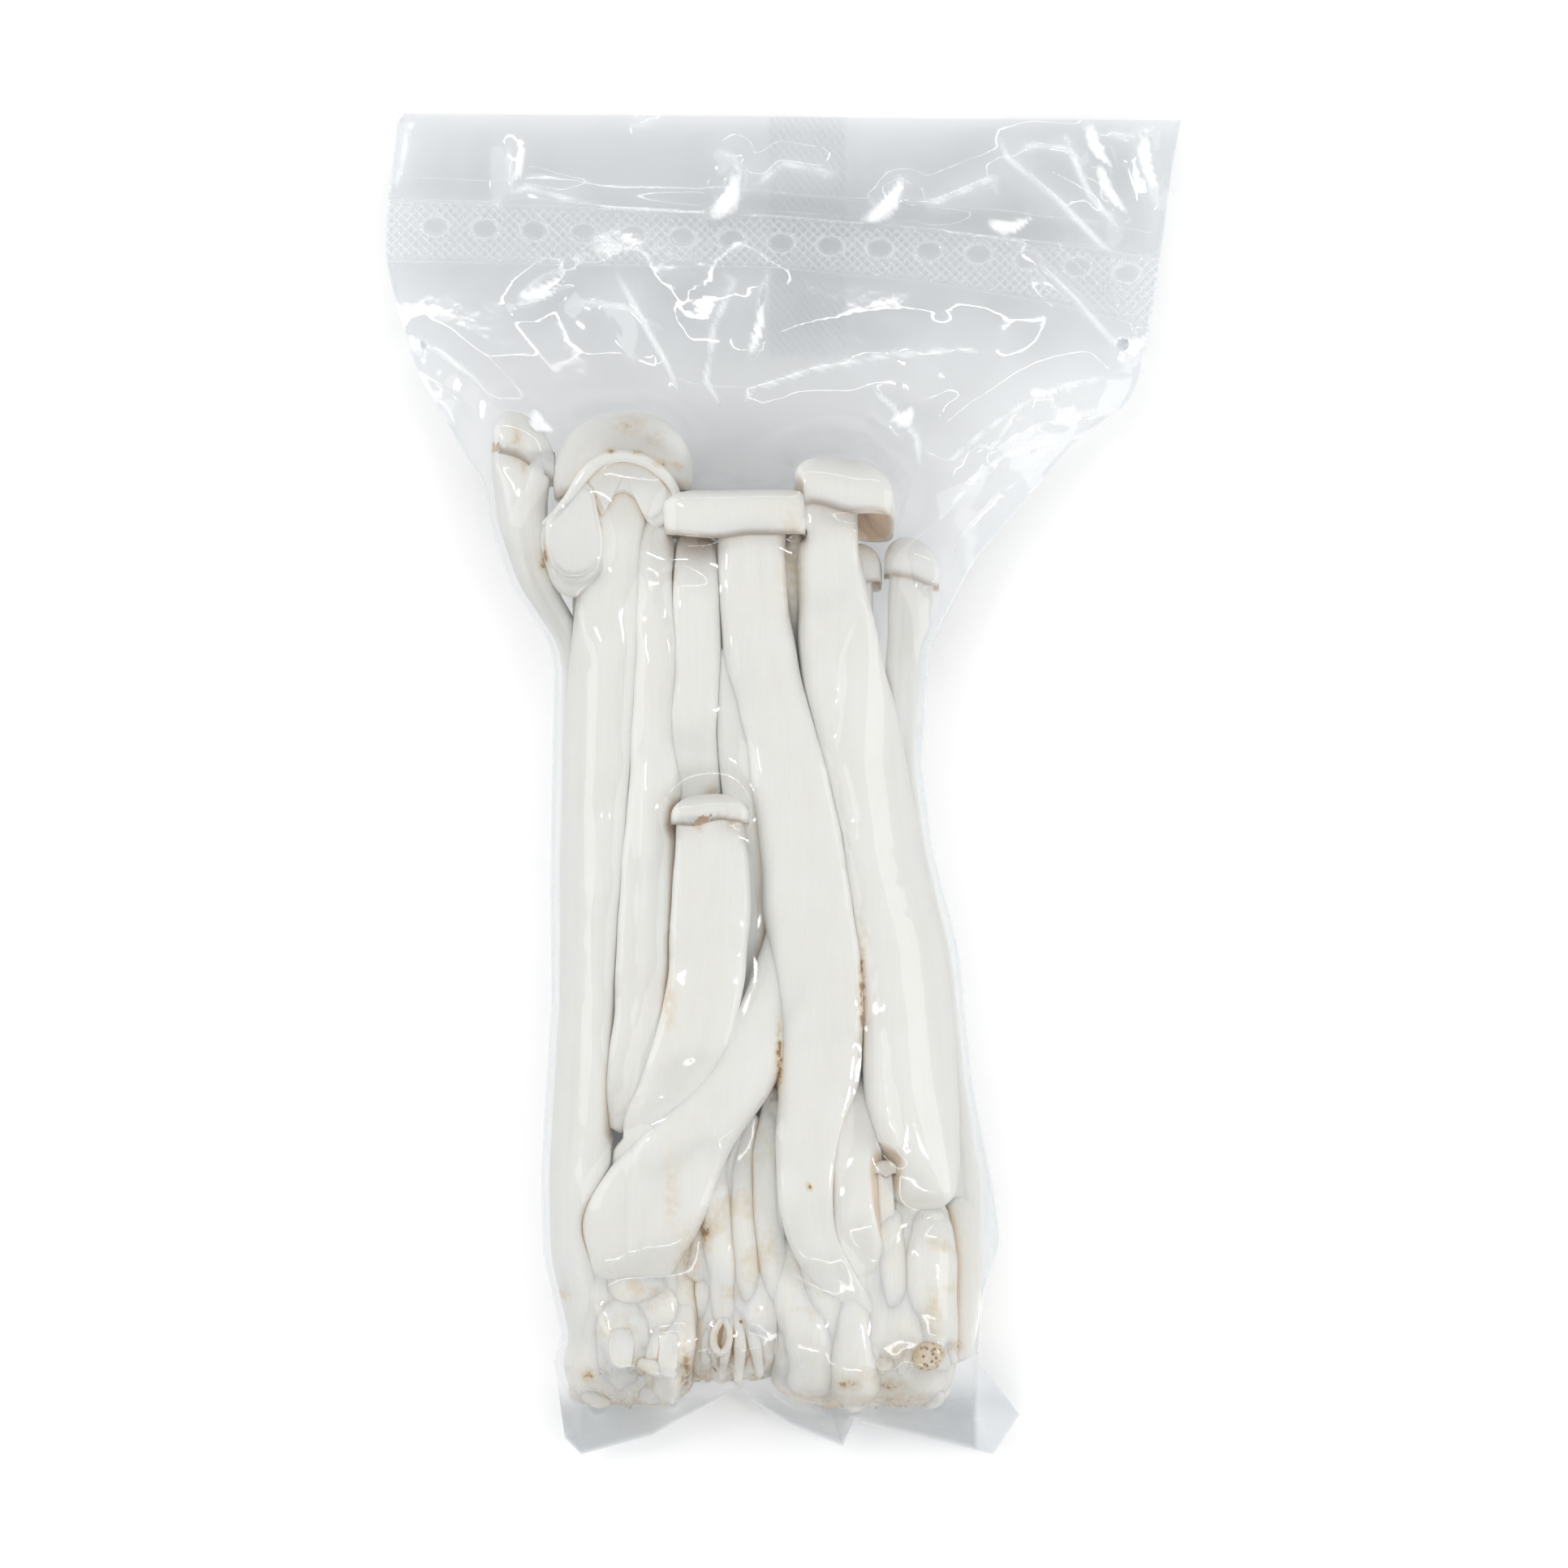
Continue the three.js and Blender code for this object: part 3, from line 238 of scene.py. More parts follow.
# Lumps of torn base, from the cut side up
BASE_LEFT = [
    (-23.6, -94.4, 11.5, 6.2, 5.6), (-24.3, -90.5, 12.3, 9, 9), (-24.6, -84, 12.8, 10, 10.6),
    (-25.4, -76, 12.8, 9, 10.4), (-26, -70, 13, 7.4, 9), (-26.5, -65, 12.5, 4.5, 6),
]
BASE_MIDDLE = [
    (-8, -90.6, 12, 5, 5), (-8.2, -86.5, 12.8, 7.4, 9), (-8.4, -78, 13, 7.6, 10.6),
    (-8.6, -70, 13, 6.6, 9.6), (-8.6, -63, 12.5, 4.4, 6.4),
]
BASE_RIGHT = [
    (12, -94.6, 11.5, 9, 5.6), (12, -91, 12.4, 12.4, 9.2), (12.2, -84, 12.8, 13.4, 10.8),
    (12.8, -75, 12.8, 12.6, 10.4), (14, -68, 13, 10.5, 9.4), (15.5, -60, 12.5, 6, 6.4),
]

# How far up a cap it is widest, and how far below its margin neighbours give way to it
BELLY_SHARE = 0.25
MARGIN_EASE = 1.2


@dataclass
class Cap:
    """A cap: centre, the margin's and the crown's y, half width and depth, bluntness, how
    far the margin leans to the side and to the front, and the gills' and the margin's waves."""

    x: float
    z: float
    margin: float
    crown: float
    width: float
    depth: float
    blunt: float = 2.2
    tilt: float = 0.0
    lean: float = 0.12
    gill: float = 0.5
    wave: float = 0.25

    def belly(self):
        """Y where the cap is widest."""
        return self.margin + (self.crown - self.margin) * BELLY_SHARE


@dataclass
class Limb:
    """A stem with its cap, a stub or a lump of base. Limbs of one node are one piece of flesh.
    A limb that lies beside the clumps presses on lumps and stems alike."""

    node: str
    rows: list
    cap: Cap = None
    foot: str = "round"
    lump: bool = False
    stub: bool = False
    beside: bool = False
    sides: int = 96
    step: float = 0.9
    seed: int = 0


LIMBS = [
    Limb("mushroom_left_tall", LEFT_TALL, Cap(-24.6, 15.6, 43.5, 56.4, 9.6, 6.2, 2.1, 0.05)),
    Limb("mushroom_left_slim", LEFT_SLIM, Cap(-20.5, 8.6, 42, 48, 4.6, 3.4)),
    Limb("mushroom_mid_slim", MID_SLIM, Cap(-12.4, 8, 39, 44, 4, 3.4)),
    Limb("mushroom_center", CENTER, Cap(-6.6, 19.4, 37.4, 44.6, 10.6, 6.4, 6, 0.01, 0)),
    Limb("mushroom_center", CENTER_TWIN),
    Limb("mushroom_center", CENTER_BRANCH),
    Limb(
        "mushroom_front_short", FRONT_SHORT,
        Cap(-11.2, 23.2, -6.6, -1.6, 5.3, 4.4, 2.2, 0.04, 0.15),
    ),
    Limb("mushroom_right_tall", RIGHT_TALL, Cap(8.8, 19, 39.4, 49, 7.2, 6.4, 2.3, -0.12, 0.3)),
    Limb(
        "mushroom_right_edge", RIGHT_EDGE_STEM, Cap(19.4, 14.6, 30.5, 37.4, 3.8, 3.9, 2, -0.2),
        beside=True,
    ),
    Limb("mushroom_left_edge", LEFT_EDGE_STEM, Cap(-39.4, 16, 47.6, 56, 4.3, 4.2, 2, -0.5, 0.2)),
    Limb("mushroom_back_far_left", BACK_FAR_LEFT, Cap(-29.2, 8.8, 31, 38.5, 5.2, 4.6), step=1.4),
    Limb("mushroom_back_left", BACK_LEFT, Cap(-17.5, 7.6, 19, 26.5, 5.8, 4.8), step=1.4),
    Limb("mushroom_back_mid", BACK_MID, Cap(1, 13, 38, 43.6, 4.4, 4), step=1.4),
    Limb("mushroom_back_right", BACK_RIGHT, Cap(10.6, 13.4, 30, 36.6, 3.9, 4), step=1.4),
    Limb("mushroom_back_far_right", BACK_FAR_RIGHT, Cap(14.6, 7.6, 8, 15, 4.8, 4.6), step=1.4),
    Limb("stem_cut", CUT_STEM, foot="cut"),
    Limb("base_left", BASE_LEFT, foot="cut", lump=True, sides=150, step=0.5),
    Limb("base_left", FLAT_PIECE_LEFT, foot="cut", stub=True, sides=72, step=0.5),
    Limb("base_left", FLAT_PIECE_RIGHT, foot="cut", stub=True, sides=72, step=0.5),
    Limb("base_middle", BASE_MIDDLE, foot="cut", lump=True, sides=130, step=0.5),
    Limb("base_middle", YOUNG_LEFT, sides=64, step=0.7),
    Limb("base_middle", YOUNG_RIGHT, sides=64, step=0.7),
    Limb("base_middle", RING_STUB, foot="cut", stub=True, sides=56, step=0.5),
    Limb("base_right", BASE_RIGHT, foot="cut", lump=True, sides=170, step=0.5),
    Limb("base_right", PIN_STEM, Cap(15.3, 22.4, -59.4, -57, 1.6, 1.6, 2.2), sides=32, step=0.5),
    Limb("base_right", SPONGY_STUB, foot="cut", stub=True, sides=72, step=0.5),
    Limb("base_right", ROUND_STUB, foot="cut", stub=True, sides=56, step=0.5),
]
for number, limb in enumerate(LIMBS):
    limb.seed = number


def smooth(t):
    """Smooth step from 0 to 1."""
    t = np.clip(t, 0, 1)
    return t * t * (3 - 2 * t)


def edge_x(table, y):
    """X of a side edge at y, with its corners eased."""
    ys, xs = zip(*reversed(table))
    return sum(np.interp(y + shift, ys, xs) for shift in (-EDGE_EASE, 0, EDGE_EASE)) / 3


def inset_of(x, y):
    """Distance inwards from the nearer side edge."""
    return np.minimum(x - edge_x(LEFT_EDGE, y), edge_x(RIGHT_EDGE, y) - x)


def tail_y(x):
    """Y of the bottom edge at x."""
    return np.interp(x, [p[1] for p in TAIL_EDGE], [p[2] for p in TAIL_EDGE])


def seam_height(x, y):
    """Height of the welded sheets where nothing lies between them."""
    to_mouth = smooth((y - SHOULDER_Y) / (TOP_EDGE - SHOULDER_Y))
    to_tail = smooth((-y - TAIL_START) / TAIL_RUN)
    wave = np.sin(x * 0.09 + 0.6) * np.cos(y * 0.05) * SEAM_WAVE
    fin = np.maximum(0, x - FIN_START) * FIN_DROP * (1 - to_mouth)
    body = SEAM_HEIGHT + (MOUTH_HEIGHT - SEAM_HEIGHT) * to_mouth
    return body + (TAIL_HEIGHT - body) * to_tail + wave * to_mouth - fin


def inside_pouch(x, y, z):
    """Whether points have room inside the pouch, round where the sheets meet."""
    side = np.minimum(inset_of(x, y), y - tail_y(x)) - EDGE_MARGIN
    room = np.sqrt(np.clip(side * (2 * SIDE_ROUND - side), 0, None))
    fits = (side > 0) & (z > CONTENT_FLOOR)
    return fits & ((side >= SIDE_ROUND) | (np.abs(z - seam_height(x, y)) < room))


def stem_at(rows, y):
    """Smooth curve through a stem's rows: x, z, half width and half depth at each y."""
    table = np.array(rows, float)
    heights = table[:, 1]
    at = np.clip(y, heights[0], heights[-1])
    k = np.clip(np.searchsorted(heights, at, side="right") - 1, 0, len(rows) - 2)
    span = heights[k + 1] - heights[k]
    t = (at - heights[k]) / span
    index = np.arange(len(rows))
    low, high = np.maximum(index - 1, 0), np.minimum(index + 1, len(rows) - 1)
    values = []
    for column in (0, 2, 3, 4):
        v = table[:, column]
        slope = (v[high] - v[low]) / (heights[high] - heights[low])
        value = (1 + 2 * t) * (1 - t) ** 2 * v[k] + t * t * (3 - 2 * t) * v[k + 1]
        value += span * (t * (1 - t) ** 2 * slope[k] + t * t * (t - 1) * slope[k + 1])
        values.append(value)
    return values


def room_of(limb, y):
    """Section that neighbours reckon with at y, and how far y lies beyond the limb's ends."""
    x, z, width, depth = stem_at(limb.rows, y)
    low, high = limb.rows[0][1], limb.rows[-1][1]
    if limb.cap:
        cap = limb.cap
        high = cap.crown
        share = smooth((y - cap.margin + MARGIN_EASE) / MARGIN_EASE)
        belly = cap.belly()
        rise = np.clip((y - belly) / (cap.crown - belly), 0, 0.97)
        dome = (1 - rise**cap.blunt) ** (1 / cap.blunt)
        x, z = x + (cap.x - x) * share, z + (cap.z - z) * share
        width = width + (cap.width * dome - width) * share
        depth = depth + (cap.depth * dome - depth) * share
    away = np.maximum(np.maximum(low - y, y - high), 0)
    return x, z, width, depth, away


def reach_of(width, depth, dx, dz):
    """Distance to the skin of a section between an ellipse and a box with round corners."""
    across = (np.abs(dx) / (width * PLUMPNESS)) ** SQUARENESS
    up = (np.abs(dz) / depth) ** SQUARENESS
    return (across + up) ** (-1 / SQUARENESS)


GROWN_TOGETHER = {"mushroom_center", "mushroom_front_short"}


def presses(limb, other):
    """Which limbs press on each other: lumps only on lumps and on stems beside them, and the
    short mushroom not on the centre one, whose foot it grew from."""
    if limb.node == other.node or {limb.node, other.node} == GROWN_TOGETHER:
        return False
    same = (limb.lump or limb.stub) == (other.lump or other.stub)
    return same or limb.beside or other.beside


def pressed(limb, y, x, z, free, dx, dz):
    """Reach of a limb's skin, flattened softly where a neighbour or the pouch's edge is.
    Gives the reach and how hard each point is pressed."""
    mine = room_of(limb, y)
    total = free ** (-SOFTNESS)
    hardest = free.copy()
    for other in LIMBS:
        if not presses(limb, other):
            continue
        theirs = room_of(other, y)
        near = theirs[4] < GUARD
        if not near.any():
            continue
        ax, az = theirs[0] - x, theirs[1] - z
        apart = np.hypot(ax, az)
        ux, uz = ax / apart, az / apart
        gap = np.hypot(theirs[0] - mine[0], theirs[1] - mine[1])
        own = reach_of(mine[2], mine[3], ux, uz)
        far = reach_of(theirs[2], theirs[3], -ux, -uz)
        least = gap * LEAST_SHARE
        wall = np.clip((gap + own - far) / 2, least, gap - least) - PRESS_GAP / 2
        wall = wall + (apart - gap) + GUARD_EASE * (theirs[4] / GUARD) ** 2
        facing = ux * dx + uz * dz
        limit = np.maximum(wall, LEAST_WALL) / np.maximum(facing, LEAST_FACING)
        limit = np.where(near & (facing > LEAST_FACING), limit, NO_WALL)
        total = total + limit ** (-SOFTNESS)
        hardest = np.minimum(hardest, limit)
    reach = total ** (-1 / SOFTNESS)
    low = np.zeros_like(reach)
    high = reach * 2
    for _ in range(FIT_TRIALS):
        half = (low + high) / 2
        fits = inside_pouch(x + dx * half, y, z + dz * half)
        low = np.where(fits, half, low)
        high = np.where(fits, high, half)
    within = np.maximum(low, 0.1) ** -POUCH_SOFTNESS
    reach = (reach**-POUCH_SOFTNESS + within) ** (-1 / POUCH_SOFTNESS)
    press = smooth((free / np.maximum(hardest, 0.1) - 1) / PRESS_FADE)
    return np.maximum(reach, LEAST_REACH), press


def fibres(limb, y, turn, look):
    """Long low ridges that run up a stem, and slow swellings."""
    draw = np.random.default_rng(40 + limb.seed)
    ridge = np.zeros(np.broadcast(y, turn).shape)
    for count in (5, 9, 14, 21, 30):
        phase, drift, bend = draw.uniform(0, 6.28), draw.uniform(14, 40), draw.uniform(0, 6.28)
        sway = 0.7 * np.sin(y / drift + bend)
        ridge += np.sin(turn * count + phase + sway) * look.ridge / METRE * 4 / (count + 2)
    for wavelength in (31, 17, 9):
        phase, lobe = draw.uniform(0, 6.28), draw.integers(1, 3)
        ridge += np.sin(y * 6.28 / wavelength + phase + turn * lobe) * 0.012 * wavelength**0.8
    return ridge


def torn(limb, y, turn):
    """Torn flesh of a lump: folds that run with the fibres, rougher towards the cut."""
    draw = np.random.default_rng(80 + limb.seed)
    low = limb.rows[0][1]
    rough = 0.3 + 2.2 * np.exp(-(y - low) / 2.5)
    fold = np.sin(turn * 5 + y * 0.2) * 0.4 + np.sin(turn * 7 - y * 0.4 + limb.rows[0][0]) * 0.3
    for count, size in ((7, 0.5), (12, 0.24), (21, 0.12), (37, 0.06)):
        phase, pace, bend = draw.uniform(0, 6.28), draw.uniform(5, 12), draw.uniform(0, 6.28)
        sway = 1.2 * np.sin(y / pace + bend) + 0.3 * np.sin(y / 2.3 + 3 * turn)
        wave = np.sin(turn * count + phase + sway)
        fold += size * (1 - 2 * np.abs(wave) ** 0.7) * rough
    return fold


def closed_tube(rings, start, end):
    """Points and quads of a closed skin over a stack of rings with the same count."""
    count, sides = rings.shape[:2]
    points = np.vstack([rings.reshape(-1, 3), start, end])
    k = np.arange(sides)
    ahead = (k + 1) % sides
    faces = []
    for n in range(count - 1):
        a, b = n * sides, (n + 1) * sides
        faces.append(np.stack([a + k, a + ahead, b + ahead, b + k], axis=1))
    caps = [(count * sides, int(j), int(i)) for i, j in zip(k, ahead)]
    top = (count - 1) * sides
    caps += [(count * sides + 1, int(top + i), int(top + j)) for i, j in zip(k, ahead)]
    return points, [tuple(int(v) for v in face) for face in np.vstack(faces)] + caps


def limb_flesh(limb, look):
    """Skin of one limb: points, faces and the marks that its material reads."""
    turn = np.linspace(0, 2 * np.pi, limb.sides, endpoint=False)[None, :]
    dx, dz = np.cos(turn), np.sin(turn)
    low, high = limb.rows[0][1], limb.rows[-1][1]
    cap = limb.cap
    root = cap.margin + (cap.crown - cap.margin) * 0.34 if cap else high
    levels = np.linspace(low, root, max(4, int((root - low) / limb.step)))[:, None]
    x, z, width, depth = stem_at(limb.rows, levels)
    bump = torn(limb, levels, turn) if limb.lump else fibres(limb, levels, turn, look)
    if limb.stub:
        bump = bump + torn(limb, levels, turn) * 0.15
    free = np.maximum(reach_of(width, depth, dx, dz) + bump, LEAST_REACH)
    reach, press = pressed(limb, levels, x, z, free, dx, dz)
    reach = np.maximum(reach + np.where(press > 0, bump * 0.35, 0), LEAST_REACH)
    foot_round = float(width[0, 0]) * (0.25 if limb.foot == "cut" else 0.9)
    lift = np.clip((levels - low) / foot_round, 0, 1)
    shrink = np.sqrt(1 - (1 - lift) ** 2) * 0.97 + 0.03
    if limb.foot == "cut":
        shrink = 0.78 + 0.22 * shrink
    if not cap:
        drop = np.clip((high - levels) / (float(width[-1, 0]) * 0.8), 0, 1)
        shrink = shrink * (np.sqrt(1 - (1 - drop) ** 2) * 0.97 + 0.03)
    reach = reach * shrink
    ys = np.broadcast_to(levels, reach.shape)
    stem = np.stack([x + dx * reach, ys, z + dz * reach], axis=2)
    near_cut = np.exp(-(levels - low) / 1.3) * 0.7 if limb.lump or limb.stub else 0
    marks = {"press": [press], "gill": [np.zeros_like(press)], "cut": [np.zeros_like(press) + near_cut]}
    rings = [stem]
    if limb.foot == "cut":
        rings.insert(0, cut_face(limb, stem[0], marks))
    if cap:
        rings.append(cap_rings(limb, stem[-1], turn, marks))
    rings = np.vstack(rings)
    start = rings[0].mean(axis=0)
    end = rings[-1].mean(axis=0)
    points, faces = closed_tube(rings, start, end)
    values = {}
    for name, parts in marks.items():
        flat = np.vstack(parts).reshape(-1)
        values[name] = np.concatenate([flat, [flat[0], flat[-1]]])
    return points, faces, values


def cut_face(limb, ring, marks):
    """Rings of a cut or torn end, from the middle out to the skin."""
    draw = np.random.default_rng(120 + limb.seed)
    middle = ring.mean(axis=0)
    rings = []
    shares = np.linspace(0.06, 0.97, 9 if limb.stub else 14)
    turn = np.linspace(0, 2 * np.pi, len(ring), endpoint=False)
    rough = 0.35 if limb.stub else 1.1
    phases = draw.uniform(0, 6.28, 4)
    for share in shares:
        level = middle + (ring - middle) * share
        shred = sum(
            np.sin(turn * count + phase + share * 9) / count**0.5
            for count, phase in zip((5, 9, 17, 29), phases)
        )
        level[:, 1] += rough * shred * share * 0.6 + (1 - share) * rough * 0.8
        rings.append(level)
    shape = (len(shares), len(ring))
    marks["press"].insert(0, np.zeros(shape))
    marks["gill"].insert(0, np.zeros(shape))
    marks["cut"].insert(0, np.ones(shape))
    return np.stack(rings)


def cap_rings(limb, neck, turn, marks):
    """Rings of a cap, from the gills' roots out to the rolled margin and over the crown."""
    cap = limb.cap
    height = cap.crown - cap.margin
    belly = cap.belly()
    dx, dz = np.cos(turn), np.sin(turn)
    around = turn[0]
    draw = np.random.default_rng(160 + limb.seed)
    wave = cap.wave * np.sin(3 * around + draw.uniform(0, 6.28))
    wave += cap.wave * 0.6 * np.sin(5 * around + draw.uniform(0, 6.28))

    def edge_at(y, share):
        levels = np.full((1, 1), y)
        x, z = np.full((1, 1), cap.x), np.full((1, 1), cap.z)
        free = reach_of(cap.width * share, cap.depth * share, dx, dz)
        reach, press = pressed(limb, levels, x, z, free, dx, dz)
        return cap.x + dx[0] * reach[0], cap.z + dz[0] * reach[0], press[0]

    edge_px, edge_pz, edge_press = edge_at(belly, 1.0)
    gills = max(16, limb.sides // 4)
    rings, edge_presses, gill_marks = [], [], []
    for share in (0.04, 0.12, 0.25, 0.4, 0.55, 0.7, 0.82, 0.9, 0.96):
        px = neck[:, 0] + (edge_px - neck[:, 0]) * share
        pz = neck[:, 2] + (edge_pz - neck[:, 2]) * share
        root = neck[0, 1]
        y = root + (cap.margin - root) * share**1.3
        y = y + cap.gill * np.cos(gills * around) * math.sin(math.pi * min(share * 1.1, 1))
        y = y + ((px - cap.x) * cap.tilt + (pz - cap.z) * cap.lean + wave) * smooth(share * 1.6)
        rings.append(np.stack([px, y, pz], axis=1))
        edge_presses.append(edge_press * 0)
        gill_marks.append(np.full_like(px, 1.0 if share < 0.9 else 0.4))
    count = max(14, int(height * 2.2))
    for t in np.concatenate([[-0.1], np.linspace(0, 1, count) ** 0.8 * 0.985]):
        y = belly + (cap.crown - belly) * t
        share = max(1 - max(t, 0) ** cap.blunt, 0.0) ** (1 / cap.blunt)
        px, pz, press = edge_at(y, max(share, 0.03))
        if t < 0:
            px, pz = cap.x + (edge_px - cap.x) * 0.995, cap.z + (edge_pz - cap.z) * 0.995
        lean = (px - cap.x) * cap.tilt + (pz - cap.z) * cap.lean + wave * (1 - max(t, 0))
        rings.append(np.stack([px, y + lean, pz], axis=1))
        edge_presses.append(press)
        gill_marks.append(np.zeros_like(px))
    marks["press"].append(np.stack(edge_presses))
    marks["gill"].append(np.stack(gill_marks))
    marks["cut"].append(np.zeros((len(rings), len(around))))
    return np.stack(rings)


def strand_flesh(path, radii, sides, flat=1.0):
    """A torn strip or rolled edge: a closed tube along a smooth path of (x, y, z)."""
    path = np.array(path, float)
    lengths = np.concatenate([[0], np.cumsum(np.linalg.norm(np.diff(path, axis=0), axis=1))])
    count = max(8, int(lengths[-1] / 0.45))
    at = np.linspace(0, lengths[-1], count)
    line = np.stack([np.interp(at, lengths, path[:, k]) for k in range(3)], axis=1)
    for _ in range(max(4, count // 6)):
        line[1:-1] = (line[:-2] + 2 * line[1:-1] + line[2:]) / 4
    along = np.gradient(line, axis=0)
    along /= np.linalg.norm(along, axis=1, keepdims=True)
    side = np.cross(along, (0, 0, 1.0))
    side /= np.maximum(np.linalg.norm(side, axis=1, keepdims=True), 1e-6)
    up = np.cross(side, along)
    share = np.linspace(0, 1, count)
    radius = np.interp(share, np.linspace(0, 1, len(radii)), radii)
    end = np.clip(np.minimum(at, lengths[-1] - at) / np.maximum(radius, 0.1), 0.02, 1)
    radius = radius * np.sqrt(1 - (1 - end) ** 2)
    turn = np.linspace(0, 2 * np.pi, sides, endpoint=False)
    ring = np.cos(turn)[None, :, None] * side[:, None, :]
    ring = ring + flat * np.sin(turn)[None, :, None] * up[:, None, :]
    rings = line[:, None, :] + ring * radius[:, None, None]
    points, faces = closed_tube(rings, line[0], line[-1])
    zero = np.zeros(len(points))
    return points, faces, {"press": zero, "gill": zero, "cut": zero}


def pad_flesh(outline, middle, top, thick, crown, rounding, cut):
    """A rounded flat piece of flesh: outline and middle as (x, y), upper face at height top."""
    line = np.array(list(outline) + [outline[0]], float)
    lengths = np.concatenate([[0], np.cumsum(np.linalg.norm(np.diff(line, axis=0), axis=1))])
    sides = max(40, int(lengths[-1] / 0.4))
    at = np.linspace(0, lengths[-1], sides, endpoint=False)
    ring = np.stack([np.interp(at, lengths, line[:, k]) for k in range(2)], axis=1)
    for _ in range(3):
        ring = (np.roll(ring, 1, axis=0) + 2 * ring + np.roll(ring, -1, axis=0)) / 4
    middle = np.array(middle, float)
    size = np.linalg.norm(ring - middle, axis=1).mean()
    rings = []
    edge = min(rounding, thick / 2)
    for s in np.linspace(0.03, 1 - edge / size, max(8, int(size / 0.5))):
        rings.append((middle + (ring - middle) * s, top + crown * (1 - s * s)))
    for angle in np.linspace(0, np.pi, 9):
        s = 1 - edge / size * (1 - math.sin(angle))
        rings.append((middle + (ring - middle) * s, top - (1 - math.cos(angle)) * thick / 2))
    rings.append((middle + (ring - middle) * 0.3, top - thick))
    stack = np.stack([np.column_stack([flat, np.full(len(flat), z)]) for flat, z in rings])
    points, faces = closed_tube(stack[::-1], stack[-1].mean(axis=0), stack[0].mean(axis=0))
    zero = np.zeros(len(points))
    return points, faces, {"press": zero, "gill": zero, "cut": zero + cut}


# The left cap is folded: its rolled lip, the arch under it and the lobe that hangs from it
LIP = [
    (-36.6, 39.2, 21.6), (-34.8, 40.6, 22.8), (-33, 42.4, 23.5), (-31.6, 44.6, 23.9),
    (-30.3, 46.8, 24), (-28.6, 48.5, 24.1), (-26.4, 49.6, 24.1), (-24.2, 49.8, 24.1),
    (-21.8, 49.3, 24), (-19.5, 48.1, 23.8), (-17.6, 46.3, 23.5), (-16.3, 44.4, 23.1),
    (-16.1, 42.2, 22),
]
LIP_RADII = (0.5, 0.8, 0.9, 0.95, 0.95, 0.9, 0.8, 0.6)
ARCH = [
    (-31.5, 45.3), (-30.2, 47.1), (-28.6, 48.6), (-26.5, 49.5), (-24.2, 49.7), (-21.8, 49.2),
    (-19.6, 48.1), (-17.6, 46.3), (-16.5, 44.5), (-16.3, 42.6), (-17.1, 40.3), (-19.1, 38.6),
    (-20.8, 39.6), (-21.7, 42), (-22.7, 43.5), (-24.3, 44.2), (-25.8, 43.8), (-27, 42.4),
    (-27.7, 39.8), (-28.8, 42.4),
]
LOBE_RIM = [
    (-36.6, 39.3), (-36.9, 36.9), (-36.4, 34.1), (-35.4, 30.9), (-34.1, 28.9), (-32.6, 28.3),
    (-31.1, 28.2), (-29.3, 28.9), (-27.9, 29.8), (-26.9, 31.2), (-26.8, 33), (-27, 35.4),
    (-27.4, 38.5), (-28.2, 41.6), (-28.8, 44.9), (-30.6, 46.6), (-32.4, 43.6), (-34.4, 41.2),
]
LOBE_FACE = [
    (-36.3, 39.4), (-36.2, 36), (-35.2, 32.8), (-33.4, 31.2), (-31.2, 31), (-29.2, 31.8),
    (-27.7, 33.6), (-27.3, 35.7), (-27.5, 38.2), (-28.2, 41.2), (-28.8, 44.8), (-30.6, 46.5),
    (-32.4, 43.5), (-34.4, 41.1),
]


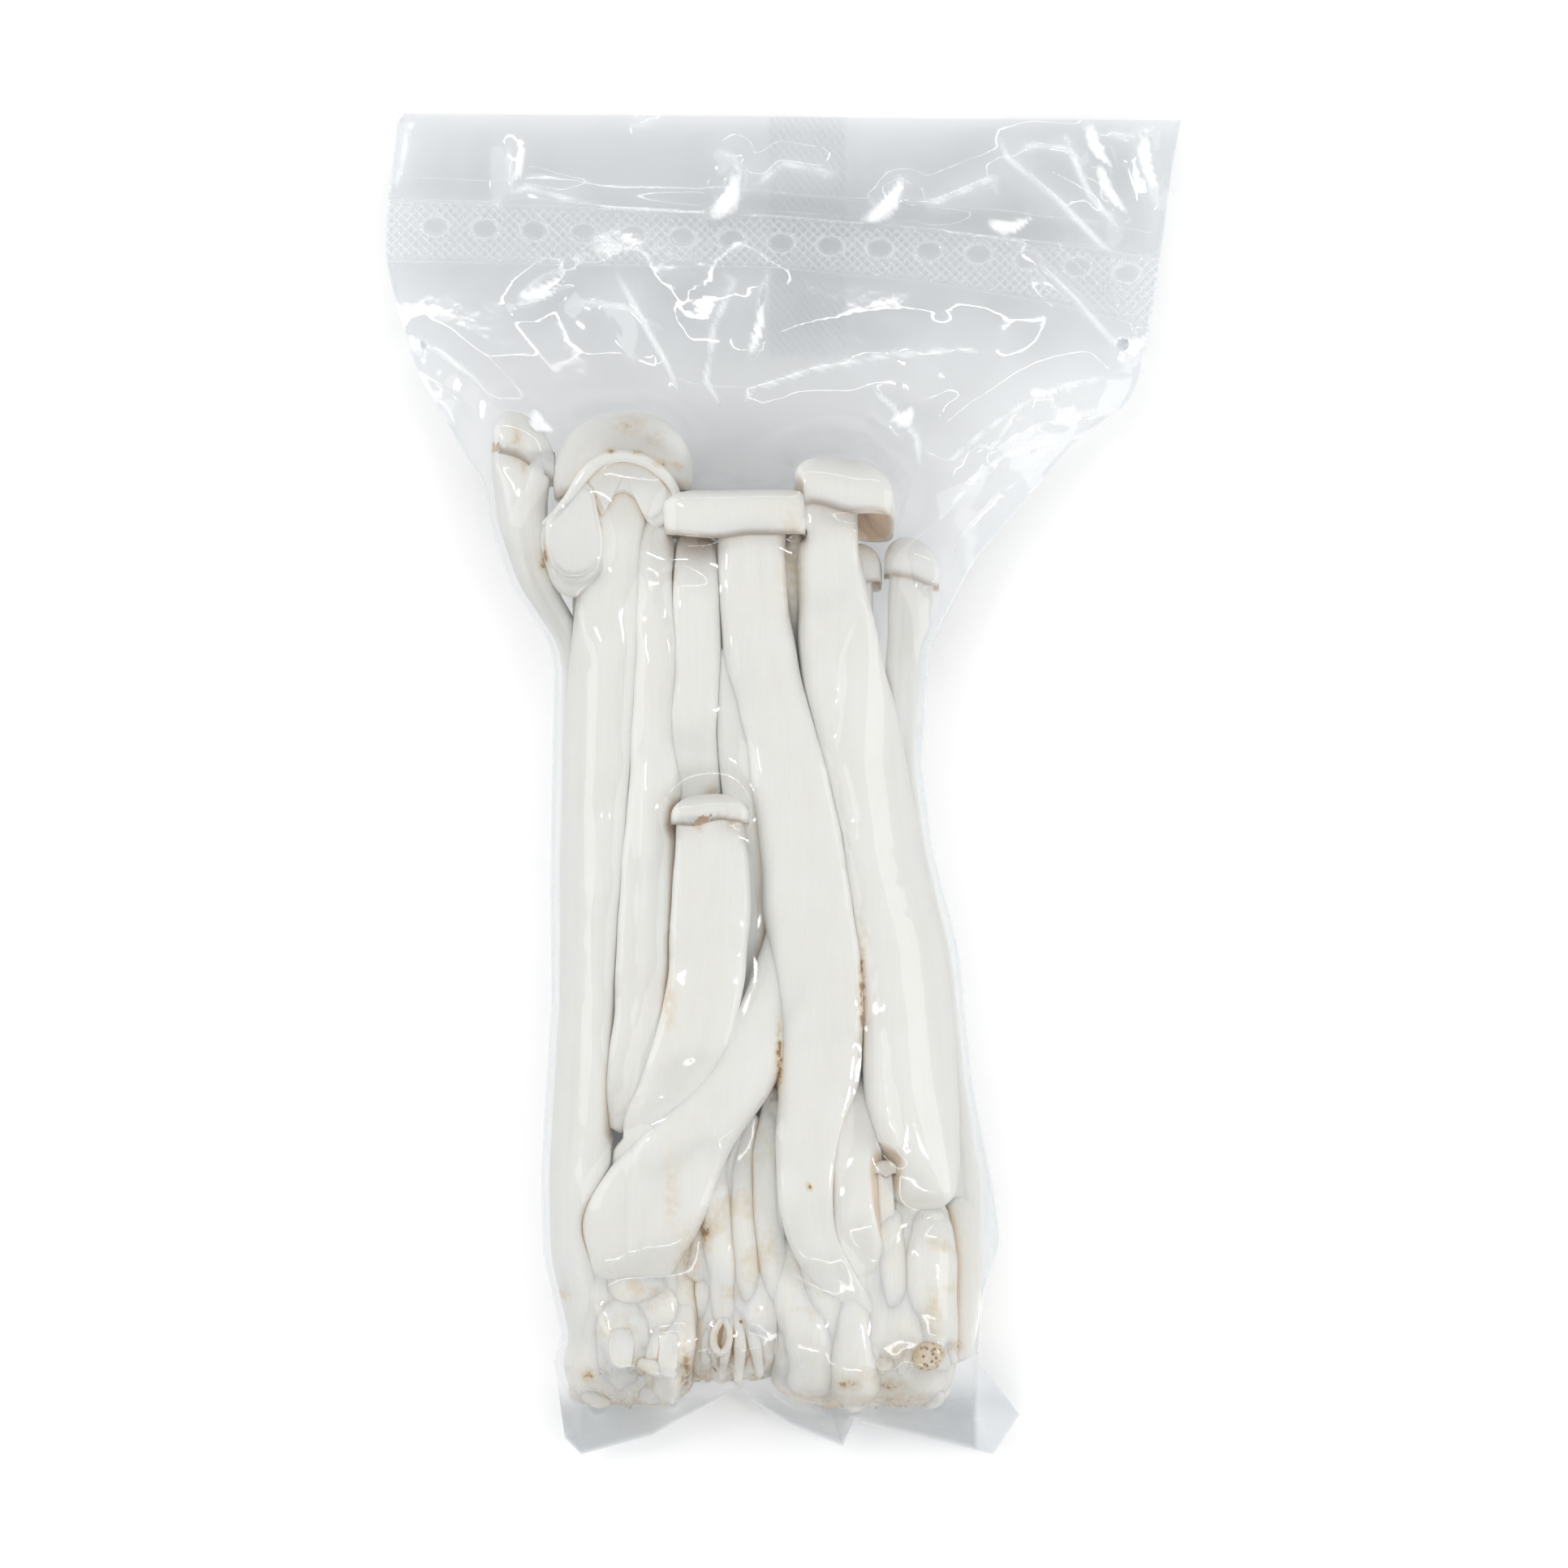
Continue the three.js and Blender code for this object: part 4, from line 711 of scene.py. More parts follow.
# Broad folds in which the stems run down into the base, as (points of x, y and z, radii,
# height over width)
BASE_FOLDS = {
    "base_left": [
        (((-29, -75, 20), (-24, -76.6, 21), (-18.4, -76.4, 21), (-14.6, -73.6, 19.6)),
         (1.6, 3, 3, 1.8), 0.9),
        (((-22.4, -87.4, 22.6), (-19.4, -88.4, 23.6), (-16, -89.4, 22.6)), (0.8, 1.3, 0.9), 0.8),
    ],
    "base_middle": [
        (((-13.2, -68.6, 20), (-14.8, -72, 21), (-15.2, -77, 21), (-13.6, -84.4, 19)),
         (1.4, 2, 2.1, 1.6), 0.9),
        (((-11.6, -71, 21.6), (-12.2, -76, 22.2), (-11.4, -83, 20.4)), (1, 1.5, 1.4), 0.9),
        (((-8.6, -54, 20), (-10, -62, 21.6), (-9.8, -70, 22), (-9, -79.6, 21.2), (-9.4, -88, 18.4)),
         (1, 2.2, 2.8, 2.6, 2.2), 0.95),
        (((-4.6, -50, 20), (-6.4, -59, 21.6), (-6.2, -68, 22.2), (-5.4, -78, 21.4), (-5, -88, 18.2)),
         (0.9, 1.9, 2.3, 2.4, 2.2), 0.95),
        (((-1.6, -46, 19), (-3, -56, 21.4), (-2.8, -66, 22), (-1.4, -75, 21.4), (-1.6, -86, 18)),
         (1, 2, 2.4, 2.6, 2.2), 0.95),
        (((-8, -78.6, 22.4), (-8.6, -84, 22.8), (-9.4, -90.4, 20.6)), (0.8, 0.9, 0.5), 0.7),
        (((-7.2, -78.6, 22.6), (-6.6, -85, 22.8), (-7, -91.2, 20.6)), (0.7, 1, 0.6), 0.7),
        (((-6.4, -78.8, 22.6), (-4.4, -84.6, 22.6), (-3.6, -90, 20.4)), (0.8, 1.1, 0.6), 0.7),
        (((-5.6, -78.4, 22.4), (-2.8, -82.4, 22.4), (-0.6, -86.6, 20.6)), (0.9, 1.2, 0.8), 0.7),
        (((-9.6, -79.4, 22.2), (-11.4, -84.4, 22), (-12, -88.4, 20)), (0.9, 1.2, 0.7), 0.7),
        (((-9, -80.6, 23), (-10.5, -82.6, 23.4), (-10.8, -84.8, 23.4), (-9.6, -86.6, 23.2),
          (-8.4, -85.2, 23.4), (-8.2, -82.8, 23.4), (-9.2, -80.5, 23)), (0.5, 0.6, 0.6, 0.6, 0.5), 0.8),
    ],
    "base_right": [
        (((-1.8, -67, 19.4), (0.2, -75, 20.8), (3.6, -82, 20.6), (5, -93, 17)), (2, 3.6, 5, 5), 0.9),
        (((8.6, -74, 19.6), (10, -81, 20), (10.6, -87, 19.4), (10.6, -94, 16.6)),
         (3, 4.4, 5, 4.6), 0.95),
        (((15.6, -64, 20.6), (16.4, -71, 21.2), (16.6, -78, 21), (15.4, -91, 17)),
         (1.8, 2.8, 3.2, 3.4), 0.95),
        (((21.6, -64, 18), (21.8, -71, 19.8), (21.6, -78, 19.8), (22.4, -90, 17)),
         (3.4, 4.6, 4.6, 4), 0.95),
        (((26.6, -63, 14), (27.2, -72, 15.4), (27, -80, 15.4), (26, -88, 14)),
         (2, 2.8, 3, 2.4), 0.95),
        (((18.6, -82, 21.8), (19, -86, 22.4), (17.4, -89.6, 21.4)), (0.8, 1, 0.8), 0.8),
        (((23.4, -82.4, 20.8), (24.6, -85.4, 20.8), (26, -88, 19)), (0.8, 1, 0.7), 0.8),
    ],
}


# Two smooth block-like pieces of the left clump with a crease between them
FLAT_LEFT = [
    (-28.6, -79.6), (-25, -78), (-21.6, -78.4), (-20.3, -83), (-20.8, -88), (-21.4, -91.6),
    (-25.4, -92.8), (-28.4, -90.6), (-29.4, -85),
]
FLAT_RIGHT = [
    (-20.8, -79), (-17, -77.6), (-14, -78.8), (-13.6, -84.6), (-14.6, -90.8), (-16.8, -94.4),
    (-20.2, -93), (-21, -88.4), (-20.4, -83.4),
]
# The right clump's cut faces: a spongy disc, a cream one and a small ochre oval
SPONGY_DISC = [(21.6 + 3 * math.cos(k * 0.6), -86.4 + 2.7 * math.sin(k * 0.6)) for k in range(10)]
CREAM_FACE = [(13.2, -84.6), (17, -85.4), (17.4, -88.6), (14.6, -90), (12.6, -88)]
OCHRE_OVAL = [(26 + 1.1 * math.cos(k), -85.4 + 0.9 * math.sin(k)) for k in range(6)]

# Rounded flat pieces as (outline, middle, upper face, thickness, crown, rounding, how cut)
PADS = {
    "mushroom_left_tall": [
        (ARCH, (-24.2, 46.6), 23.2, 3.5, 0.3, 1, 0),
        (LOBE_RIM, (-31.4, 36.6), 23.4, 5, 0.5, 1.6, 0),
        (LOBE_FACE, (-31.6, 37.6), 24.2, 2.5, 0.4, 0.7, 0),
    ],
    "base_left": [
        (FLAT_LEFT, (-24.4, -85.4), 22.8, 14, 1.4, 3.4, 0),
        (FLAT_RIGHT, (-17.6, -86.6), 23.3, 14, 1.4, 3.4, 0),
    ],
    "base_right": [
        (SPONGY_DISC, (21.6, -86.4), 22.6, 4, 0.5, 0.7, 1),
        (CREAM_FACE, (15, -87.4), 22.4, 4, 0.4, 0.8, 0.15),
        (OCHRE_OVAL, (26, -85.4), 18.6, 3, 0.2, 0.4, 0.6),
    ],
}


def extra_flesh(node):
    """Folded edges, flaps and broad folds that belong to a node."""
    pieces = [strand_flesh(path, radii, 48, flat) for path, radii, flat in BASE_FOLDS.get(node, ())]
    if node == "mushroom_left_tall":
        pieces.append(strand_flesh(LIP, LIP_RADII, 24))
    return pieces + [pad_flesh(*pad) for pad in PADS.get(node, ())]


TORN_STRIPS = 9
LONGEST_STRIP = 5


def torn_strips(limb):
    """Strips that hang along the face of a lump, drawn from a seed."""
    draw = np.random.default_rng(200 + limb.seed)
    low = limb.rows[0][1]
    strips = []
    for _ in range(TORN_STRIPS):
        turn = draw.uniform(0, 2 * np.pi)
        start = draw.uniform(low + 2, low + 5)
        length = draw.uniform(2, LONGEST_STRIP)
        drift = draw.uniform(-0.5, 0.5)
        radius = draw.uniform(0.6, 1.7)
        levels = np.linspace(start, max(start - length, low - 0.6), 7)[:, None]
        turns = turn + drift * np.linspace(0, 1, 7)[:, None] + 0.05 * draw.normal(size=(7, 1))
        x, z, width, depth = stem_at(limb.rows, levels)
        dx, dz = np.cos(turns), np.sin(turns)
        free = reach_of(width, depth, dx, dz)
        reach, _ = pressed(limb, levels, x, z, free, dx, dz)
        reach = reach - radius * 0.35
        path = np.hstack([x + dx * reach, levels, z + dz * reach])
        path[:, 2] = np.maximum(path[:, 2], CONTENT_FLOOR + radius)
        strips.append(strand_flesh(path, [radius * 0.5, radius, radius, radius * 0.6], 14, 0.6))
    return strips


# Stained places as x, y, half width, half height and strength; above 0.6 they turn brown.
# The long thin lines in the slots between stems, the line above the left cap's lip and the
# patch on the back stem seen in a gap are painted shade.
STAINS_AND_SLOT_SHADE = [
    (-23.4, 54.6, 2.4, 1.4, 0.6), (-19.8, 52.4, 1.6, 1.2, 0.4), (-40.6, 51.8, 0.9, 2.4, 0.55),
    (-39.4, 48.6, 0.7, 1.6, 0.5), (-26.2, 50.4, 0.7, 0.5, 1), (-22.3, 50.2, 0.9, 0.4, 1),
    (-18.8, 48.6, 0.9, 0.6, 1), (-16.2, 48.2, 0.8, 0.5, 0.9), (-36.6, 33.4, 0.5, 1.4, 0.9),
    (-12.8, -6.4, 0.6, 0.4, 0.8), (-7.9, -6.1, 0.6, 0.4, 0.8), (-17.6, -32.6, 1, 4, 0.4),
    (1.2, 33, 1.4, 7, 0.45), (13.4, 37.6, 1.8, 2.4, 0.5), (-29.6, -89.8, 1.2, 1, 0.9),
    (-14.8, -94, 1.2, 1, 1), (-13, -91.8, 0.9, 1.6, 1), (-33.4, -77.4, 1, 0.8, 0.7),
    (-14.6, -72.4, 1.6, 4, 0.45), (-12, -68.8, 1, 1.8, 0.75), (9.6, -91, 1.6, 0.8, 1),
    (16, -91.2, 1.8, 0.8, 1), (26, -85.4, 1, 0.8, 0.9), (-20, -76.8, 3.4, 0.8, 0.4),
    (-9.6, -83.6, 1.2, 1.8, 0.55), (-8, -77, 1.4, 1, 0.5), (-17, -62, 1.2, 5, 0.25),
    (22.6, -80, 1.2, 3, 0.4), (16.4, -86.6, 2.2, 1.4, 0.4), (2.4, -93, 6, 0.8, 0.5),
    (-6.4, -91.4, 4, 0.8, 0.6), (15, -93.6, 6, 0.9, 0.6), (-22, -94.6, 6, 0.8, 0.6),
    (11.8, -31.6, 0.45, 8, 1.2), (-0.7, -41.4, 0.5, 4.6, 1.2), (-12, -67.6, 0.8, 1.6, 1.1),
    (-14.8, -89.6, 1.1, 4.4, 0.9), (-36.2, 34, 0.4, 2, 1.3), (3.8, -60.7, 0.35, 0.3, 1.6),
    (-6.5, -81.4, 0.3, 0.3, 1.6), (-31.3, 90.5, 0.3, 0.3, 1),
]


def stains_and_slot_shade(points):
    """How stained each point is, and how much painted shade it gets in slots between stems."""
    found = np.zeros(len(points))
    for x, y, wide, tall, strength in STAINS_AND_SLOT_SHADE:
        away = ((points[:, 0] - x) / wide) ** 2 + ((points[:, 1] - y) / tall) ** 2
        found = np.maximum(found, strength * np.exp(-away))
    return found


def raise_object(name, parts, material, replaced=()):
    """One mesh object from parts of points, faces and marks, riding on the pack."""
    points, faces, marks, start = [], [], {}, 0
    for part_points, part_faces, part_marks in parts:
        # Stained places, and painted shade in slots between stems, on all flesh
        if "press" in part_marks:
            part_marks["stain_and_slot_shade"] = stains_and_slot_shade(part_points)
        points.append(part_points)
        faces += [tuple(v + start for v in face) for face in part_faces]
        for mark, values in part_marks.items():
            marks.setdefault(mark, []).append(values)
        start += len(part_points)
    mesh = bpy.data.meshes.new(name)
    mesh.from_pydata((np.vstack(points) * METRE).tolist(), [], faces)
    for mark, values in marks.items():
        layer = mesh.attributes.new(mark, "FLOAT", "POINT")
        layer.data.foreach_set("value", np.concatenate(values).astype(np.float32))
    mesh.shade_smooth()
    mesh.materials.append(material)
    mesh.validate()
    made = bpy.data.objects.new(name, mesh)
    bpy.context.scene.collection.objects.link(made)
    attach(made, BODY)
    if replaced:
        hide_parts(*replaced)
    return made


def add_node(tree, kind, inputs=None, **settings):
    """Adds a node, sets its fields and fills its sockets with values or links."""
    made = tree.nodes.new(kind)
    for name, value in settings.items():
        setattr(made, name, value)
    for socket, value in (inputs or {}).items():
        if isinstance(value, bpy.types.NodeSocket):
            tree.links.new(value, made.inputs[socket])
        else:
            made.inputs[socket].default_value = value
    return made


def new_material(name):
    """An empty material and its node tree with the output node, or the one already made."""
    old = bpy.data.materials.get(name)
    if old:
        return old, None, None
    material = bpy.data.materials.new(name)
    material.use_nodes = True
    tree = material.node_tree
    tree.nodes.clear()
    return material, tree, tree.nodes.new("ShaderNodeOutputMaterial")


# Sockets of a Mix node that mixes two colours
SHARE, FROM, TO = 0, 6, 7
MIXED = 2
# Wet flesh is close to water, and light goes some 1.6 mm into it
FLESH_IOR = 1.38
LIGHT_DEPTH = 0.0016
# How deep a nook is that gets the painted shade
NOOK_SHADE_DEPTH = 0.0022
FILM_IOR = 1.52


def marked_tint(tree, colour, mark, tint):
    """Mixes in a colour where the mesh is marked."""
    marked = add_node(tree, "ShaderNodeAttribute", attribute_name=mark)
    return add_node(
        tree, "ShaderNodeMix",
        {SHARE: marked.outputs["Fac"], FROM: colour, TO: (*tint, 1)}, data_type="RGBA",
    ).outputs[MIXED]


def patchy_tint(tree, colour, pattern, span, tint, most=1.0, mark=None):
    """Mixes in a colour where a pattern runs from the first value of span to the second, and
    only where the mesh is marked, if a mark is named."""
    share = add_node(
        tree, "ShaderNodeMapRange",
        {"Value": pattern, "From Min": span[0], "From Max": span[1], "To Min": 0.0, "To Max": most},
    )
    if mark:
        marked = add_node(tree, "ShaderNodeAttribute", attribute_name=mark)
        share = add_node(
            tree, "ShaderNodeMath", {0: share.outputs[0], 1: marked.outputs["Fac"]},
            operation="MULTIPLY",
        )
    return add_node(
        tree, "ShaderNodeMix",
        {SHARE: share.outputs[0], FROM: colour, TO: (*tint, 1)}, data_type="RGBA",
    ).outputs[MIXED]


def tint_stains_and_slot_shade(tree, colour, place, look):
    """Ochre where the flesh is stained, turning brown where strongest, with edges ragged every
    millimetre or so; with the same colours it paints dark shade lines in slots between stems."""
    mark = add_node(tree, "ShaderNodeAttribute", attribute_name="stain_and_slot_shade")
    blot = add_node(tree, "ShaderNodeTexNoise", {"Vector": place, "Scale": 900.0, "Detail": 3.0})
    ragged = add_node(
        tree, "ShaderNodeMapRange",
        {
            "Value": blot.outputs["Fac"], "From Min": 0.35, "From Max": 0.62,
            "To Min": 0.25, "To Max": 1.25,
        },
    )
    strength = add_node(
        tree, "ShaderNodeMath", {0: mark.outputs["Fac"], 1: ragged.outputs[0]},
        operation="MULTIPLY",
    ).outputs[0]
    ochre = add_node(
        tree, "ShaderNodeMix",
        {SHARE: strength, FROM: colour, TO: (*look.stain_and_slot_shade, 1)}, data_type="RGBA",
    )
    return patchy_tint(tree, ochre.outputs[MIXED], strength, (0.6, 1.0), look.bruise, 0.85)


def tint_nook_shade_and_browning(tree, colour, tint):
    """Mixes in a tan by ambient occlusion: painted shade in the flesh's own narrow nooks, standing also
    for where it dries and browns.
    """
    open_sky = add_node(
        tree, "ShaderNodeAmbientOcclusion", {"Distance": NOOK_SHADE_DEPTH}, samples=8, only_local=True,
    )
    return patchy_tint(tree, colour, open_sky.outputs["AO"], (0.8, 0.25), tint)


def flesh_surface(tree, output, colour, relief, roughness, glow, radius):
    """Matt flesh with fibres in relief that lets some light through: glow is its share, and
    radius how far each colour of light goes in it."""
    height, strength, distance = relief
    bump = add_node(
        tree, "ShaderNodeBump", {"Height": height, "Strength": strength, "Distance": distance},
    )
    skin = add_node(
        tree, "ShaderNodeBsdfPrincipled",
        {
            "Base Color": colour, "Roughness": roughness, "IOR": FLESH_IOR,
            "Subsurface Weight": glow, "Subsurface Radius": radius,
            "Subsurface Scale": LIGHT_DEPTH, "Normal": bump.outputs[0],
        },
    )
    tree.links.new(skin.outputs[0], output.inputs["Surface"])


def fresh_flesh(look):
    """Raw white mushroom flesh, grown: matt and slightly see-through, with long fine fibres,
    pinkish between the gills, and a painted tan shade where it is squeezed, standing for light
    that has to come through it there, and in its narrow nooks."""
    material, tree, output = new_material("raw_mushroom_flesh_grown")
    if tree is None:
        return material
    place = add_node(tree, "ShaderNodeTexCoord").outputs["Object"]
    # Fibres 0.35 mm wide and about 14 mm long
    stretched = add_node(tree, "ShaderNodeMapping", {"Vector": place, "Scale": (2850, 70, 2850)})
    fibre = add_node(
        tree, "ShaderNodeTexNoise", {"Vector": stretched.outputs[0], "Scale": 1.0, "Detail": 4.0},
    ).outputs["Fac"]
    # Cloudy patches some 9 mm across
    patch = add_node(tree, "ShaderNodeTexNoise", {"Vector": place, "Scale": 110.0, "Detail": 3.0})
    tone = add_node(
        tree, "ShaderNodeMix",
        {SHARE: patch.outputs["Fac"], FROM: (*look.flesh, 1), TO: (*look.flesh_warm, 1)},
        data_type="RGBA",
    )
    colour = patchy_tint(tree, tone.outputs[MIXED], fibre, (0.3, 0.75), look.flesh_warm, 0.6)
    # Painted shade: tan where stems press on each other
    colour = marked_tint(tree, colour, "press", look.crease)
    # Painted shade in the stems' narrow nooks
    colour = tint_nook_shade_and_browning(tree, colour, look.crease)
    colour = marked_tint(tree, colour, "gill", look.gill)
    # Stained places, and painted shade in the slots between stems
    colour = tint_stains_and_slot_shade(tree, colour, place, look)
    flesh_surface(tree, output, colour, (fibre, 0.5, 0.0002), 0.68, 0.35, (1.0, 0.9, 0.75))
    return material


def torn_flesh(look):
    """Torn and cut mushroom base: fibrous, creamier, with ochre and brown bruises where it
    was cut from the block that it grew on."""
    material, tree, output = new_material("torn_mushroom_base_cut")
    if tree is None:
        return material
    place = add_node(tree, "ShaderNodeTexCoord").outputs["Object"]
    # Torn fibres 0.5 mm wide and some 5 mm long
    stretched = add_node(tree, "ShaderNodeMapping", {"Vector": place, "Scale": (2000, 200, 2000)})
    fibre = add_node(
        tree, "ShaderNodeTexNoise", {"Vector": stretched.outputs[0], "Scale": 1.0, "Detail": 5.0},
    ).outputs["Fac"]
    # Bruises 4 to 8 mm across
    bruise = add_node(
        tree, "ShaderNodeTexNoise",
        {"Vector": place, "Scale": 160.0, "Detail": 4.0, "Roughness": 0.6},
    ).outputs["Fac"]
    tone = add_node(
        tree, "ShaderNodeMix",
        {SHARE: fibre, FROM: (*look.flesh, 1), TO: (*look.base, 1)}, data_type="RGBA",
    )
    colour = patchy_tint(tree, tone.outputs[MIXED], bruise, (0.56, 0.72), look.stain_and_slot_shade, 0.35)
    # Painted shade: tan where lumps and stems press on each other
    colour = marked_tint(tree, colour, "press", look.crease)
    # Painted shade, and browning, in the base's narrow nooks
    colour = tint_nook_shade_and_browning(tree, colour, look.nook_shade_and_browning)
    # Cut faces are stained in blotches
    blotch = add_node(
        tree, "ShaderNodeMapRange",
        {"Value": bruise, "From Min": 0.4, "From Max": 0.6, "To Min": 0.1, "To Max": 0.8},
    )
    cut = add_node(tree, "ShaderNodeAttribute", attribute_name="cut")
    browned = add_node(
        tree, "ShaderNodeMath", {0: blotch.outputs[0], 1: cut.outputs["Fac"]},
        operation="MULTIPLY",
    )
    crust = add_node(
        tree, "ShaderNodeMix",
        {SHARE: browned.outputs[0], FROM: colour, TO: (*look.stain_and_slot_shade, 1)}, data_type="RGBA",
    )
    # and hold specks of the growing block, 0.8 mm across
    grain = add_node(tree, "ShaderNodeTexVoronoi", {"Vector": place, "Scale": 1250.0})
    colour = patchy_tint(
        tree, crust.outputs[MIXED], grain.outputs["Distance"], (0.45, 0.15), look.bruise, mark="cut",
    )
    # Stained places, and painted shade in the slots between stems
    colour = tint_stains_and_slot_shade(tree, colour, place, look)
    flesh_surface(tree, output, colour, (fibre, 0.6, 0.0004), 0.7, 0.3, (1.0, 0.75, 0.45))
    return material


def clear_film(name, tint, haze_tint, film):
    """Polyamide and polyethylene film, blown and laminated: clear, faintly blue-grey, with
    sharp gloss. It is milky where it is embossed, knurled or welded at its edges; the same
    milky mix carries painted highlights along creases and on dents, painted light over the
    shoulder and painted shade towards the back sheet's edges."""
    material, tree, output = new_material(name)
    if tree is None:
        return material
    through = add_node(tree, "ShaderNodeBsdfTransparent", {"Color": (*tint, 1)})
    haze = add_node(tree, "ShaderNodeBsdfDiffuse", {"Color": (*haze_tint, 1)})
    # This mark mixes in the film's real milkiness together with painted highlights, painted light and
    # painted shade
    milk_and_painted_light = add_node(tree, "ShaderNodeAttribute", attribute_name="milk_and_painted_light")
    body = add_node(
        tree, "ShaderNodeMixShader",
        {0: milk_and_painted_light.outputs["Fac"], 1: through.outputs[0], 2: haze.outputs[0]},
    )
    place = add_node(tree, "ShaderNodeTexCoord").outputs["Object"]
    # Film drawn by rollers has faint waves some 3 mm apart
    wave = add_node(tree, "ShaderNodeTexNoise", {"Vector": place, "Scale": 330.0, "Detail": 2.0})
    bump = add_node(
        tree, "ShaderNodeBump",
        {"Height": wave.outputs["Fac"], "Strength": 0.25, "Distance": 0.0001},
    )
    gloss = add_node(
        tree, "ShaderNodeBsdfGlossy",
        {"Color": (1, 1, 1, 1), "Roughness": film.roughness, "Normal": bump.outputs[0]},
    )
    mirror = add_node(tree, "ShaderNodeFresnel", {"IOR": FILM_IOR, "Normal": bump.outputs[0]})
    surface = add_node(
        tree, "ShaderNodeMixShader",
        {0: mirror.outputs[0], 1: body.outputs[0], 2: gloss.outputs[0]},
    )
    tree.links.new(surface.outputs[0], output.inputs["Surface"])
    return material


# Creases of the film: points of (x, y), reach to either side and height
FILM_CREASES = [
    (((-56.7, 102.2), (-59.6, 90.4)), 2.5, 0.6),
    (((-42, 100.9), (-42, 96), (-41.6, 90.4), (-39.2, 91.3), (-34.5, 89.8), (-28, 88.6)), 2.5, 0.9),
    (((-22.5, 102.2), (-21.8, 100.9), (-18.7, 101.9)), 1.5, 0.4),
    (((-10.7, 97.5), (-7.6, 95.7), (-6.7, 93.3), (-8.2, 90.4), (-10.7, 86.7)), 3, 0.9),
    (((-6.7, 90.4), (-3.3, 92.3), (-0.2, 94.8), (4.1, 94.1), (9.1, 92.9)), 3, 0.8),
    (((17.8, 94.1), (18, 91.7), (16.3, 88.8), (13.4, 85.8)), 3, 0.9),
    (((18.7, 89.4), (22.7, 88.8), (27.6, 90.8), (32, 92.7), (34.9, 93)), 3.5, 0.9),
    (((32.2, 101.8), (34, 96), (36.6, 93.8), (41.3, 89.8), (48.4, 82.6), (53.6, 78.7)), 3.5, 1.1),
    (((34.1, 96), (38.2, 97.8), (43.1, 97.2), (46.8, 94.8)), 3, 0.9),
    (((43.5, 100.9), (43.7, 97.2), (46.8, 89.8), (52.4, 83.6)), 3, 1),
    (((45.6, 101.6), (47.7, 97.8), (50.2, 94.1)), 2, 0.7),
    (((48.1, 94.8), (49.7, 91), (51.4, 87.1)), 2, 0.7),
    (((53.6, 100.9), (55.1, 94.8), (57.3, 87.1)), 2.5, 0.8),
    (((46.8, 99.7), (52.4, 99.1), (58.6, 100.9)), 2.5, 0.7),
    (((36.6, 82.4), (40, 78.7), (45, 73.7), (48.1, 70), (51.1, 66.9), (54.2, 66.6), (55.5, 70)),
     3, 1),
    (((-33, 78.4), (-36.4, 77.7), (-39.4, 75.2), (-40.4, 73.2), (-38.5, 73.5), (-34.2, 76),
      (-32.7, 77.9)), 1.6, 0.6),
    (((-26.2, 80.2), (-24.9, 76.8), (-23.7, 74.7), (-20.6, 68.8), (-18.1, 64.4), (-16.3, 60.1),
      (-15, 55.2)), 4, 1.2),
    (((-34.2, 72.5), (-29.3, 73.5), (-23.7, 72.5), (-16.9, 68.2)), 5, 0.8),
    (((-2, 79.3), (-2.9, 76.8), (-3.8, 71.3), (-4.5, 65.1)), 3, 1),
    (((-10.7, 78.7), (-7.6, 76.8), (-10.7, 70), (-11.9, 61.4), (-8.2, 55.2)), 5, 1),
    (((-57.7, 70), (-56, 67.5), (-52.8, 66.1), (-47.2, 62), (-43.5, 57.6), (-41.6, 55.8)), 3, 0.8),
    (((53.6, 63.2), (46.2, 61.4), (40, 59.9), (35.1, 57), (30.7, 53.9), (26.4, 50.2),
      (21.5, 45.3)), 4, 1.2),
    (((45, 52.7), (40, 52.1), (33.8, 50.2), (28.9, 46.5), (22.7, 39.1)), 3.5, 1),
    (((51.8, 57.6), (43.7, 56.2), (36.6, 53.9), (30.7, 50.2)), 3, 0.8),
    (((40, 60.4), (41.3, 57), (41.6, 53.3)), 2.5, 0.7),
    (((36.6, 59.5), (34.5, 55.2), (30.1, 49)), 3, 0.9),
    (((19.6, 57.6), (17.5, 55.8), (15.9, 54.6), (17.8, 52.7), (19.6, 50.2)), 3, 0.8),
    (((9.7, 70), (12.2, 66.9), (16.5, 65.7), (17.8, 67.5), (14, 69.4)), 2.5, 0.5),
    (((11.6, 61.4), (16.5, 57.6), (20.2, 52.7), (20.8, 45.3)), 4, 1),
    (((-10.7, 53.9), (-4.5, 60.1), (4.1, 63.2), (14, 65.1), (26.4, 66.3), (36.3, 65.1)), 6, 1.2),
]

# Flat facets between creases, each with a painted highlight blob on it: x, y, angle in
# degrees, half length, half width and the slopes along x and y
FILM_FACETS = [
    (-8.8, 89.6, 62, 4.2, 1.5, -0.018, -0.19), (15.6, 88.8, 50, 4.4, 1.3, 0.003, -0.19),
    (-36.6, 75.8, 28, 4.2, 1, -0.042, -0.201), (34.6, 85.6, 8, 3.4, 1, 0.019, -0.193),
    (48.1, 97.5, -62, 3.8, 0.9, 0.031, -0.183), (50, 90.8, -60, 4.4, 0.8, 0.032, -0.189),
    (55.8, 95, -76, 4.6, 0.9, 0.037, -0.185), (53.4, 67.4, 12, 2.4, 1.2, 0.035, -0.208),
    (-3.9, 70.6, 80, 5.4, 0.6, -0.014, -0.206), (-56, 67.3, -20, 1.6, 0.8, -0.059, -0.208),
    (-36.9, 54.9, -45, 2.2, 1.1, -0.043, -0.219), (18.3, 56, 40, 2, 1.2, 0.005, -0.219),
    (39.6, 59.8, 4, 2.4, 0.5, 0.023, -0.214), (-40.4, 95.6, 84, 3.4, 0.5, -0.045, -0.185),
]
